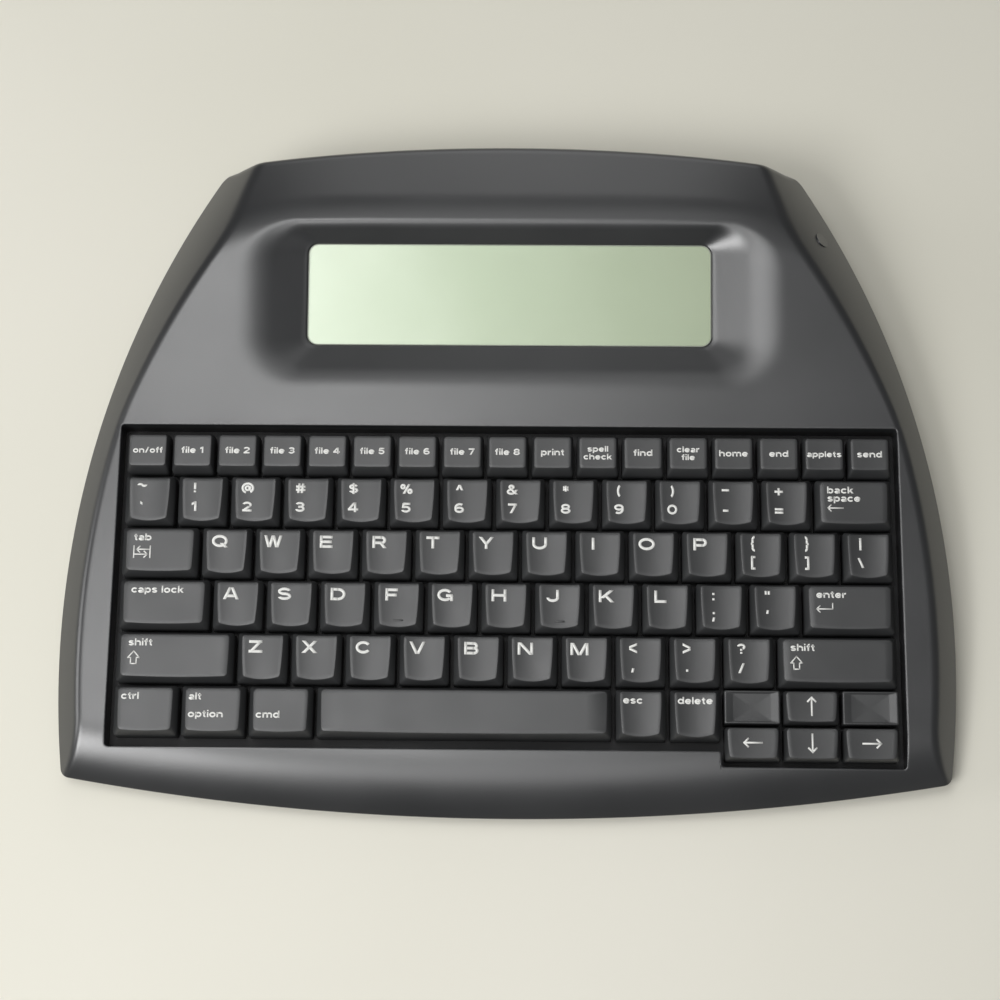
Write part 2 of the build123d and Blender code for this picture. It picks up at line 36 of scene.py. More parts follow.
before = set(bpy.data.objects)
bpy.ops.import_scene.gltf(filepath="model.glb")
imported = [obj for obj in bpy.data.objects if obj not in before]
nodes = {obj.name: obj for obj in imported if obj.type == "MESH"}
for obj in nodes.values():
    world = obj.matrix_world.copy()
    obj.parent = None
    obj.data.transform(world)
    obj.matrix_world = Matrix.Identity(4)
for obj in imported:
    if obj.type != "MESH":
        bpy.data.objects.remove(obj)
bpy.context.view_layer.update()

# ---- driving dimensions
DECK_TILT = radians(6.0)
DECK_HEIGHT = 27.4
CASE_WIDTH = 320.0
FRONT_REACH, REAR_REACH = 121.5, 128.2
SIDE_WIDEST = 61.3
SIDE_RADIUS, FRONT_RADIUS, REAR_RADIUS = 338.0, 920.0, 620.0
FRONT_CORNER, REAR_CORNER = 2.6, 2.1
REAR_EDGE = 2.4
RIM = -9.3
BEVEL, BEVEL_UPPER = tan(radians(41.0)), tan(radians(49.0))
BEVEL_BLEND = 7.0
WALL = 2.2
INNER_INSET = 1.3 * WALL  # from the outer sheet's rim to the inner sheet's
PORT_HALF, PORT_NOTCH = 6.4, 0.8  # the rim is raised over the square socket
ROLL_RUN = 22.0
ROLL_RADIUS = 34.8
SLOPE_START, SLOPE, SLOPE_BLEND = 20.0, tan(radians(7.6)), 8.7
RIDGE, REAR_LEVEL, RIDGE_BLEND = 98.5, -0.09, 8.2
RIDGE_BEND, RIDGE_HALF = 9.0, 105.0
CREASE = 1.6

DISPLAY_TILT = tan(radians(7.6))  # against the deck
DISPLAY_Y, DISPLAY_W = 68.98, 0.895
WINDOW_X, WINDOW_Y, WINDOW_CORNER = 74.25, 18.84, 3.8
DISH_DEPTH = 5.0
DISH_SIDE, DISH_FRONT, DISH_REAR = 16.6, 11.6, 5.2
DISH_CORNER = 15.0
DISH_FOOT = 0.08  # share of the dish wall that curves up from its foot
DISH_CREASE = 2.1

PITCH = 19.05
ROW_UNITS = 14.5
FUNCTION_DEPTH = 15.9
CLUSTER_START, CLUSTER_DEPTH = 11.25, 12.9
KEY_GAP = 1.2
SKIRT, KEY_TOP, CEILING = -6.1, 2.0, -0.3
STEM, STEM_FOOT = 4.8, -7.5
CAP_WALL, SIDE_LEAN, GUIDE_WALL, FIT = 1.2, 1.5, 0.9, 0.3  # what leaves room for stems
PLATE = -9.4
WELL_SIDE, WELL_REAR, WELL_FRONT = 2.2, 2.9, 2.8
WELL_CLUSTER, WELL_STEP, WELL_CORNER = 1.4, 0.4, 1.0
LIP = 0.9  # how far from an opening the case's sheet begins
OPENING_ROUND = 0.4  # the rounded edge of an opening
GLASS_WALL = 1.3  # how far the case goes down round the glass
PATCH_X, PATCH_Y = 90.0, 99.0  # rear corners of the sheet's patch round the display
BESIDE_WELL, NEAR_STEP = 10.0, 4.0  # where the patches meet the rim

BLOCK_LEFT = -ROW_UNITS * PITCH / 2
DECK_Y = -(REAR_REACH - FRONT_REACH) / 2 * cos(DECK_TILT) + RIM * sin(DECK_TILT)


def tilted(points, tilt, origin_y, origin_z):
    """Millimetres in axes tilted about x, to the scene's metres."""
    x, y, z = np.asarray(points, float).reshape(-1, 3).T
    c, s = cos(tilt), sin(tilt)
    return np.stack([x, origin_y + y * c - z * s, origin_z + y * s + z * c], 1) / 1000


def to_world(points):
    """Deck millimetres to the scene's metres."""
    return tilted(points, DECK_TILT, DECK_Y, DECK_HEIGHT)


def display_to_world(points):
    """Display millimetres, from the window's centre: y up the display, z out of it."""
    _, y, z = to_world([(0, DISPLAY_Y, DISPLAY_W)])[0] * 1000
    return tilted(points, DECK_TILT + atan2(DISPLAY_TILT, 1), y, z)


def millimetres(points):
    return np.asarray(points, float).reshape(-1, 3) / 1000


# ---- mesh helpers
def new_object(name, data):
    thing = bpy.data.objects.new(name, data)
    bpy.context.scene.collection.objects.link(thing)
    return thing


def add_object(name, build, body, material, place=to_world, smooth=True):
    mesh = build.mesh(name, place)
    thing = new_object(name, mesh)
    mesh.materials.append(material)
    mesh.polygons.foreach_set("use_smooth", [smooth] * len(mesh.polygons))
    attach(thing, body)
    return thing


WELD = 1e-6  # points this near, in metres, become one


class Build:
    """Gathers points and faces, then makes one clean mesh of them."""

    def __init__(self):
        self.points, self.faces = [], []

    def add(self, points):
        start = len(self.points)
        self.points.extend(map(tuple, points))
        return np.arange(start, len(self.points))

    def ring(self, places, level):
        """A row of points over places in the plane, at one level or at a level for each."""
        return self.add(np.column_stack([places, np.broadcast_to(level, len(places))]))

    def bridge(self, a, b, closed=True):
        """Quads between two rows of points of equal length."""
        n = len(a)
        for i in range(n if closed else n - 1):
            j = (i + 1) % n
            self.faces.append((a[i], a[j], b[j], b[i]))

    def stack(self, rows, closed=True):
        for a, b in zip(rows, rows[1:]):
            self.bridge(a, b, closed)

    def cap(self, row, centre):
        middle = self.add([centre])[0]
        n = len(row)
        for i in range(n):
            self.faces.append((row[i], row[(i + 1) % n], middle))

    def close(self, rows, low, high):
        """A solid from rows of points, closed at both ends by fans about these middles."""
        self.stack(rows)
        self.cap(rows[0], low)
        self.cap(rows[-1], high)

    def box(self, low, high):
        x0, y0, z0 = low
        x1, y1, z1 = high
        around = [(x0, y0), (x1, y0), (x1, y1), (x0, y1)]
        a, b = self.ring(around, z0), self.ring(around, z1)
        self.bridge(a, b)
        self.faces += [tuple(a[::-1]), tuple(b)]

    def mesh(self, name, place):
        data = bpy.data.meshes.new(name)
        faces = [tuple(map(int, face)) for face in self.faces]
        data.from_pydata(place(self.points).tolist(), [], faces)
        work = bmesh.new()
        work.from_mesh(data)
        bmesh.ops.remove_doubles(work, verts=work.verts, dist=WELD)
        bmesh.ops.dissolve_degenerate(work, edges=work.edges, dist=WELD)
        bmesh.ops.recalc_face_normals(work, faces=work.faces)
        work.to_mesh(data)
        work.free()
        return data


def lerp(a, b, t):
    return a + (b - a) * t


def unit(vector):
    return vector / np.hypot(*vector)


def halve(low, high, short):
    """Where short() turns false between low and high, found by halving."""
    for _ in range(50):
        middle = (low + high) / 2
        falls = short(middle)
        low, high = np.where(falls, middle, low), np.where(falls, high, middle)
    return (low + high) / 2


def stations(count, ends):
    """Shares from 0 to 1 that crowd towards both ends."""
    t = np.linspace(0, 1, count + 1)
    return t - ends * np.sin(2 * pi * t) / (2 * pi)


def smooth_min(a, b, reach):
    near = np.maximum(reach - np.abs(a - b), 0) / reach
    return np.minimum(a, b) - near * near * reach / 4


def round_min(a, b, radius):
    """The smaller of two distances, with a round corner where they meet."""
    apart = np.abs(a - b)
    rounded = (a + b) / 2 - radius + np.sqrt(np.maximum(2 * radius**2 - apart**2, 0)) / 2
    return np.where(apart < radius, rounded, np.minimum(a, b))


# ---- the case's form
def edge_distances(x, y):
    """How far a place lies inside the side, front and rear edges."""
    side = SIDE_RADIUS - np.hypot(np.abs(x) + SIDE_RADIUS - CASE_WIDTH / 2, y + SIDE_WIDEST)
    front = FRONT_RADIUS - np.hypot(x, y - FRONT_RADIUS + FRONT_REACH)
    rear = REAR_RADIUS - np.hypot(x, y + REAR_RADIUS - REAR_REACH)
    return side, front, rear


def plan_distance(x, y):
    side, front, rear = edge_distances(x, y)
    return np.minimum(round_min(side, rear, REAR_CORNER), round_min(side, front, FRONT_CORNER))


def side_profile(x, y):
    """The deck, the display slope, the ridge, whose ends bend forward, and the fall behind it."""
    up = y - SLOPE_START
    blend = (up + SLOPE_BLEND) ** 2 * SLOPE / (4 * SLOPE_BLEND)
    rise = np.where(np.abs(up) < SLOPE_BLEND, blend, np.maximum(up, 0) * SLOPE)
    ridge = RIDGE - RIDGE_BEND * np.minimum(np.abs(x) / RIDGE_HALF, 1.1) ** 6
    past = y - ridge
    peak = (ridge - SLOPE_START) * SLOPE
    fall = (peak - REAR_LEVEL) / (REAR_REACH - ridge)
    turn = (past + RIDGE_BLEND) ** 2 * (SLOPE + fall) / (4 * RIDGE_BLEND)
    rise = np.where(np.abs(past) < RIDGE_BLEND, peak + past * SLOPE - turn, rise)
    return np.where(past >= RIDGE_BLEND, peak - past * fall, rise)


def display_plane(y):
    return DISPLAY_W + (y - DISPLAY_Y) * DISPLAY_TILT


def dish_share(x, y):
    """0 at the window's edge and 1 at the dish's brim."""
    def outside(share):
        corner = np.maximum(WINDOW_CORNER + (DISH_CORNER - WINDOW_CORNER) * share, 0.1)
        half_x = WINDOW_X + DISH_SIDE * share - corner
        half_y = WINDOW_Y + (DISH_FRONT + DISH_REAR) / 2 * share - corner
        across = np.abs(x) - half_x
        along = np.abs(y - DISPLAY_Y - (DISH_REAR - DISH_FRONT) / 2 * share) - half_y
        past = np.hypot(np.maximum(across, 0), np.maximum(along, 0))
        return past + np.minimum(np.maximum(across, along), 0) > corner

    return halve(np.full(x.shape, -0.3), np.full(x.shape, 12.0), outside)


def dish_level(x, y):
    share = np.maximum(dish_share(x, y), 0)
    wall = np.where(share < DISH_FOOT, share**2 / (2 * DISH_FOOT), share - DISH_FOOT / 2)
    return display_plane(y) + DISH_DEPTH * wall


def case_level(x, y):
    """The top case's height over the deck at a place."""
    x, y = np.asarray(x, float), np.asarray(y, float)
    side, front, rear = edge_distances(x, y)
    over = np.clip(ROLL_RUN - front, 0, ROLL_RADIUS)
    roll = np.sqrt(ROLL_RADIUS**2 - over**2) - ROLL_RADIUS
    top = np.where(front < ROLL_RUN, roll, side_profile(x, y))
    beyond = side + RIM * BEVEL
    past = (np.clip(beyond, -BEVEL_BLEND, BEVEL_BLEND) + BEVEL_BLEND) ** 2 / (4 * BEVEL_BLEND)
    past = past + np.maximum(beyond - BEVEL_BLEND, 0)
    bevel = RIM + side / BEVEL - past * (1 / BEVEL - 1 / BEVEL_UPPER)
    level = smooth_min(top, bevel, CREASE)
    edge = np.clip((level - RIM) / 2, 0.01, REAR_EDGE)
    into = np.clip(edge - rear, 0, edge)
    level = level - edge + np.sqrt(edge**2 - into**2)
    return np.maximum(smooth_min(level, dish_level(x, y), DISH_CREASE), RIM)


def plan_outline():
    """The rim as a fine closed line from the front left corner, counter-clockwise."""
    turn = np.linspace(0, 2 * pi, 4000, endpoint=False) + pi
    reach = halve(np.zeros(turn.shape), np.full(turn.shape, 300.0),
                  lambda far: plan_distance(far * np.cos(turn), far * np.sin(turn)) > 0)
    return np.stack([reach * np.cos(turn), reach * np.sin(turn)], 1)


def end_edge(x, end):
    """A place on the front (end -1) or rear (end 1) arc."""
    radius, far = (FRONT_RADIUS, FRONT_REACH) if end < 0 else (REAR_RADIUS, REAR_REACH)
    return np.array((x, end * (far - radius + sqrt(radius**2 - x**2))))


def corner_place(end):
    """Where the side arc would meet the front or rear arc, on the right."""
    x = halve(60.0, CASE_WIDTH / 2, lambda x: edge_distances(*end_edge(x, end))[0] > 0)
    return end_edge(x, end)


FINE_STEP = 0.25  # between the points of a fine line


def rounded_polygon(corners, radius):
    """A closed fine line round corners that run counter-clockwise: rows of x, y and normal."""
    points, normals = [], []
    count = len(corners)
    for i in range(count):
        before, here, after = (np.array(corners[k % count], float) for k in (i - 1, i, i + 1))
        into, out = unit(here - before), unit(after - here)
        bend = into[0] * out[1] - into[1] * out[0]
        cut = radius * abs(tan(np.arccos(np.clip(into @ out, -1, 1)) / 2))
        side = 1 if bend > 0 else -1
        centre = here - into * cut + side * radius * np.array([-into[1], into[0]])
        first = side * np.array([into[1], -into[0]])
        outward = np.array([out[1], -out[0]])
        for t in np.linspace(0, 1, 25):
            ray = unit(lerp(first, side * outward, t))
            points.append(centre + radius * ray)
            normals.append(side * ray)
        ahead = unit(np.array(corners[(i + 2) % count], float) - after)
        next_cut = radius * abs(tan(np.arccos(np.clip(out @ ahead, -1, 1)) / 2))
        begin, finish = here + out * cut, after - out * next_cut
        steps = max(int(np.hypot(*(finish - begin)) / FINE_STEP), 2)
        for t in np.linspace(0, 1, steps)[1:-1]:
            points.append(lerp(begin, finish, t))
            normals.append(outward)
    return np.hstack([points, normals])


def well_corners():
    side = -BLOCK_LEFT + WELL_SIDE
    rear = FUNCTION_DEPTH + WELL_REAR
    front = -5 * PITCH - WELL_FRONT
    step = BLOCK_LEFT + CLUSTER_START * PITCH - WELL_STEP
    cluster = -4 * PITCH - 2 * CLUSTER_DEPTH - WELL_CLUSTER
    return np.array([(-side, front), (step, front), (step, cluster), (side, cluster),
                     (side, rear), (-side, rear)])


def window_corners():
    low, high = DISPLAY_Y - WINDOW_Y, DISPLAY_Y + WINDOW_Y
    return np.array([(-WINDOW_X, low), (WINDOW_X, low), (WINDOW_X, high), (-WINDOW_X, high)])


def run_along(line, start, end, shares):
    """Points on a closed fine line, forward from nearest start to nearest end."""
    first = np.argmin(np.hypot(*(line[:, :2] - start).T))
    rolled = np.roll(line, -first, 0)
    last = np.argmin(np.hypot(*(rolled[:, :2] - end).T))
    piece = rolled[: last + 1]
    run = np.concatenate([[0], np.cumsum(np.hypot(*np.diff(piece[:, :2], axis=0).T))])
    return np.stack([np.interp(shares * run[-1], run, column) for column in piece.T], 1)


def runs_along(line, places, shares):
    """Runs on a closed fine line, from each place to the next."""
    return [run_along(line, *ends) for ends in zip(places, places[1:], shares)]


def join(parts):
    """Runs end to end, each leaving its last point to the next."""
    return np.concatenate([part[:-1] for part in parts])


def make_top_case(material):
    """One closed shell: a sheet from the rim to the well and the glass, and one under it."""
    rim = plan_outline()
    well = rounded_polygon(well_corners(), WELL_CORNER)
    glass = rounded_polygon(window_corners(), WINDOW_CORNER)
    a, h, g, f, e, b = well_corners()
    c, d = np.array((-PATCH_X, PATCH_Y)), np.array((PATCH_X, PATCH_Y))
    front_right, rear_right = corner_place(-1), corner_place(1)
    front_left, rear_left = front_right * (-1, 1), rear_right * (-1, 1)
    beside_e, beside_b = e + (BESIDE_WELL, 0), b - (BESIDE_WELL, 0)
    past_e, past_b = e - (WELL_CORNER, 0), b + (WELL_CORNER, 0)
    before_h, after_g = end_edge(h[0] - NEAR_STEP, -1), end_edge(g[0] + NEAR_STEP, -1)
    long, step, short = stations(120, 0.75), stations(10, 0), stations(44, 0.75)
    side, slant = stations(72, 0.75), stations(56, 0.4)
    behind, middle = stations(104, 0.6), stations(150, 0.75)

    well_runs = runs_along(well, (a, h, g, f, past_e, past_b, a),
                           (long, step, short, side, middle, side))
    well_loop = join(well_runs)
    brink = well_loop[:, :2] + LIP * well_loop[:, 2:]
    at_e, at_b = (sum(len(run) - 1 for run in well_runs[:n]) for n in (4, 5))
    slope_line = join([lerp(brink[at_e], d, slant[:, None]), lerp(d, c, behind[:, None]),
                       lerp(c, brink[at_b], slant[:, None])])[1:]
    inner = np.concatenate([brink[: at_e + 1], slope_line, brink[at_b:]])
    outer = join(runs_along(rim, (front_left, before_h, after_g, front_right, beside_e,
                                  rear_right, rear_left, beside_b, front_left),
                            (long, step, short, side, slant, behind, slant, side)))
    glass_loop = join(runs_along(glass, window_corners()[[1, 2, 3, 0, 1]],
                                 (slant, behind, slant, middle)))
    glass_brink = glass_loop[:, :2] + LIP * glass_loop[:, 2:]

    along = np.roll(outer, -1, 0) - np.roll(outer, 1, 0)
    inward = np.column_stack([-along[:, 1], along[:, 0]]) / np.hypot(*along.T)[:, None]
    under = outer + INNER_INSET * inward
    # rows from the inner line to the rim, closer together near the rim's rounded edge
    shares = np.concatenate([np.linspace(0, 0.95, 26), (0.965, 0.978, 0.988, 0.994, 0.998, 1)])

    build = Build()
    sheets = []
    for drop, edge in ((0, outer), (WALL, under)):
        def lay(place):
            level = case_level(*place.T)
            return build.ring(place, np.maximum(level - drop, RIM) if drop else level)

        rings = [lay(lerp(inner, edge, t)) for t in shares]
        build.stack(rings)
        start, finish = at_e, at_e + len(slope_line) + 2
        back = lay(brink[at_e + 1: at_b])
        ring = np.concatenate([rings[0][start:finish], back[::-1]])
        ring_place = np.concatenate([inner[start:finish], brink[at_e + 1: at_b][::-1]])
        patch = [ring] + [lay(lerp(ring_place, glass_brink, t)) for t in np.linspace(0, 1, 35)[1:]]
        build.stack(patch)
        well_ids = np.concatenate([rings[0][: at_e + 1], back, rings[0][finish - 1:]])
        sheets.append((rings[-1], well_ids, patch[-1]))

    def turned_edge(loop, bottom):
        """Rows of points over an opening's rounded edge, down its side and under it."""
        rows = []
        near = 0.3 * OPENING_ROUND
        for out, drop in ((OPENING_ROUND, 0.0), (near, near), (0.0, OPENING_ROUND)):
            place = loop[:, :2] + out * loop[:, 2:]
            rows.append(build.ring(place, case_level(*place.T) - drop))
        for out in (0.0, LIP):
            place = loop[:, :2] + out * loop[:, 2:]
            rows.append(build.ring(place, bottom(place[:, 1])))
        return rows

    upper, lower = sheets
    port = (np.abs(outer[:, 0]) < PORT_HALF) & (outer[:, 1] > 0)
    foot = np.where(port, RIM + PORT_NOTCH, RIM)
    build.stack([upper[0], build.ring(outer, foot), build.ring(under, foot), lower[0]])
    build.stack([upper[1], *turned_edge(well_loop, lambda y: PLATE), lower[1]])
    glass_rows = turned_edge(glass_loop, lambda y: display_plane(y) - GLASS_WALL)
    build.stack([upper[2], *glass_rows, lower[2]])
    shell = add_object("top_shell", build, "base", material)
    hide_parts("top_case")


# ---- keys
CAP_EDGE, CAP_FLARE, FLARE_DROP = 0.38, 0.84, 1.35
BASE_CORNER = 0.8
FOOT_EDGE, FOOT_RISE = 0.12, 0.15  # the small slant round a skirt's foot
# for each kind of cap: how far its face draws in at the sides, rear and front, how much further at
# the front corners, how far the front edge bows out, the depth of the dish, and the corner radius
CAP_SHAPES = {
    "letter": (1.55, 0.9, 2.0, 0.75, 1.0, 0.7, 0.9),
    "wide": (1.55, 0.9, 1.9, 0.35, 0.45, 0.0, 1.4),
    "function": (0.75, 0.75, 2.35, 0.1, 0.1, 0.12, 1.1),
    "arrow": (0.75, 0.4, 0.75, 0.75, 0.2, 0.35, 1.2),
}


def key_kind(node, width):
    kinds = {"function_keys": "function", "arrow_keys": "arrow"}
    return kinds.get(node, "letter" if width == PITCH else "wide")


def cluster_cell(column, row):
    width = (ROW_UNITS - CLUSTER_START) * PITCH / 3
    x = BLOCK_LEFT + CLUSTER_START * PITCH + (column + 0.5) * width
    return x, -4 * PITCH - (row + 0.5) * CLUSTER_DEPTH, width, CLUSTER_DEPTH


def key_cells():
    """(node, x, y, width, depth, legend) of every key that moves."""
    def letters(text):
        return [("key_" + letter.lower(), 1, letter) for letter in text]

    def signs(*pairs):
        return [("punctuation_keys", 1, pair) for pair in pairs]

    def modifiers(units, *words):
        return [("modifier_keys", units, word) for word in words]

    digits = [("number_keys", 1, pair) for pair in zip("!@#$%^&*()", "1234567890")]
    rows = [
        signs("~`") + digits + signs("_-", "+=") + [("backspace_key", 1.5, "back space")],
        [("tab_key", 1.5, "tab")] + letters("QWERTYUIOP") + signs("{[", "}]", "|\\"),
        [("caps_lock_key", 1.75, "caps lock")] + letters("ASDFGHJKL") + signs(":;", "\"'")
        + [("enter_key", 1.75, "enter")],
        [("left_shift_key", 2.25, "shift")] + letters("ZXCVBNM") + signs("<,", ">.", "?/")
        + [("right_shift_key", 2.25, "shift")],
        modifiers(1.25, "ctrl", "alt option", "cmd") + [("space_bar", 5.5, "")]
        + modifiers(1, "esc", "delete"),
    ]
    cells = []
    functions = ["on/off"] + [f"file {n}" for n in range(1, 9)] + [
        "print", "spell check", "find", "clear file", "home", "end", "applets", "send"]
    step = ROW_UNITS * PITCH / len(functions)
    for n, word in enumerate(functions):
        cells.append(("function_keys", BLOCK_LEFT + (n + 0.5) * step, FUNCTION_DEPTH / 2, step,
                      FUNCTION_DEPTH, word))
    for row, keys in enumerate(rows):
        left = BLOCK_LEFT
        for node, units, legend in keys:
            width = units * PITCH
            cells.append((node, left + width / 2, -(row + 0.5) * PITCH, width, PITCH, legend))
            left += width
    for legend, column, row in (("up", 1, 0), ("left", 0, 1), ("down", 1, 1), ("right", 2, 1)):
        cells.append(("arrow_keys", *cluster_cell(column, row), legend))
    return cells


def rounded_loop(half, rear, front, radius, narrow=0.0, bow=0.0, side_steps=8, end_steps=10):
    """A closed line round a cap's face: straight behind, drawn in and bowed at the front."""
    x0, x1, y0, y1 = -half + radius, half - radius, front + radius, rear - radius
    arcs = []
    for x, y, begin in ((x0, y0, 180), (x1, y0, 270), (x1, y1, 0), (x0, y1, 90)):
        turn = np.radians(np.linspace(begin, begin + 90, 6))
        arcs.append(np.column_stack([x + radius * np.cos(turn), y + radius * np.sin(turn)]))
    parts = []
    for arc, after, steps in zip(arcs, arcs[1:] + arcs[:1], (end_steps, side_steps) * 2):
        parts += [arc, lerp(arc[-1], after[0], np.linspace(0, 1, steps + 2)[1:-1, None])]
    x, y = np.concatenate(parts).T
    ahead = (rear - y) / (rear - front)
    y = y - bow * (1 - (x / half) ** 2) * ahead**2
    return np.column_stack([x * (1 - narrow / half * ahead**2), y])


class Cap:
    """One cap about the middle of its cell: its loops, and the level of its face."""

    def __init__(self, kind, x, y, width, depth):
        side, rear, front, self.narrow, self.bow, self.dish, self.radius = CAP_SHAPES[kind]
        self.place = (x, y)
        self.half_base, self.deep = (width - KEY_GAP) / 2, (depth - KEY_GAP) / 2
        self.half = self.half_base - side
        self.rear, self.front = self.deep - rear, front - self.deep
        self.middle = (self.rear + self.front) / 2
        self.end_steps = 10 if width < 1.3 * PITCH else int(width / 2.2)

    def level(self, x):
        return KEY_TOP - self.dish * (1 - np.minimum(np.abs(x) / self.half, 1) ** 2)

    def lay(self, build, loop, lift=0.0):
        """A row of points this far off the cap's face."""
        return build.ring(loop + self.place, self.level(loop[:, 0]) + lift)

    def face(self, inset, shrink=1.0):
        loop = rounded_loop(self.half - inset, self.rear - inset, self.front + inset,
                            max(self.radius - inset, 0.2), self.narrow, self.bow,
                            end_steps=self.end_steps)
        middle = np.array((0, self.middle))
        return middle + (loop - middle) * shrink

    def base(self, inset):
        return rounded_loop(self.half_base - inset, self.deep - inset, inset - self.deep,
                            BASE_CORNER, end_steps=self.end_steps)

    def add(self, build):
        rows = [build.ring(self.base(inset) + self.place, level) for inset, level in (
            (2 * CAP_WALL, CEILING), (CAP_WALL, SKIRT), (FOOT_EDGE, SKIRT), (0, SKIRT + FOOT_RISE))]
        flare = lerp(self.face(0), self.base(0), CAP_FLARE)
        rows.append(self.lay(build, flare, -CAP_EDGE - FLARE_DROP))
        rows += [self.lay(build, self.face(inset), -drop)
                 for inset, drop in ((0, CAP_EDGE), (0.11, 0.11), (CAP_EDGE, 0))]
        rows += [self.lay(build, self.face(CAP_EDGE, shrink))
                 for shrink in (0.86, 0.66, 0.44, 0.22)]
        x, y = self.place
        build.close(rows, (x, y, CEILING), (x, y + self.middle, self.level(0.0)))
        for dx in stem_offsets(2 * self.half_base + KEY_GAP):
            build.box((x + dx - STEM / 2, y - STEM / 2, STEM_FOOT),
                      (x + dx + STEM / 2, y + STEM / 2, 0.0))


def stem_offsets(width):
    """Where a cap of this cell width has its stems; the first stands on the dome."""
    guide = STEM + 2 * FIT
    reach = (width - KEY_GAP) / 2 - CAP_WALL - SIDE_LEAN - GUIDE_WALL - FIT - guide / 2
    return [0] if reach < guide + 2 * GUIDE_WALL else [0, -reach, reach]


def add_homing_bar(build, cap):
    """The small raised bar that the fingers find on F and J."""
    loop = rounded_loop(1.7, 0.3, -0.3, 0.28, end_steps=4, side_steps=1)
    place = np.array(cap.place) + (0, cap.front + 1.6)
    floor = cap.level(0.0)
    rows = [build.ring(place + loop * scale, floor + rise)
            for scale, rise in ((1.0, -0.2), (1.0, 0.14), (0.75, 0.26))]
    build.close(rows, (*place, floor - 0.2), (*place, floor + 0.28))


def make_keys(material, ink):
    groups, legends = {}, {}
    for node, x, y, width, depth, legend in key_cells():
        cap = Cap(key_kind(node, width), x, y, width, depth)
        cap.add(groups.setdefault(node, Build()))
        if legend in ("F", "J"):
            add_homing_bar(groups[node], cap)
        if legend:
            write_legend(legends.setdefault(node, Build()), cap, node, legend)
    for node, build in groups.items():
        caps = add_object("caps_" + node, build, node, material)
        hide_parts(node)
    for node, build in legends.items():
        add_object("legend_" + node, build, node, ink)


# rows of a blank from its foot to its tray: in from the sides, in from the ends, level, corner
BLANK_ROWS = (
    (0, 0, PLATE, 0.5), (0, 0, 0.2, 0.5), (0.1, 0.1, 0.5, 0.5), (0.35, 0.35, 0.6, 0.5),
    (0.8, 0.6, 0.55, 0.4), (2.9, 0.9, -0.1, 0.4), (3.2, 1.2, -0.15, 0.4),
)


def make_filler_keys(material):
    """The two fixed blanks, each with a shallow tray in its top."""
    build = Build()
    for column in (0, 2):
        x, y, width, depth = cluster_cell(column, 0)
        half, deep = (width - KEY_GAP) / 2, (depth - KEY_GAP) / 2
        rows = [build.ring(rounded_loop(half - across, deep - along, along - deep, radius)
                           + (x, y), level) for across, along, level, radius in BLANK_ROWS]
        build.close(rows, (x, y, PLATE), (x, y, BLANK_ROWS[-1][2]))
    blanks = add_object("blank_keys", build, "base", material)
    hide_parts("filler_keys")


# ---- lettering
INK = 0.03  # how far the print stands off the cap
SUNK = 0.08
WEIGHT = 0.23  # a stroke's thickness against the capitals' height
LETTER_GAP, WORD_GAP = 0.14, 0.36

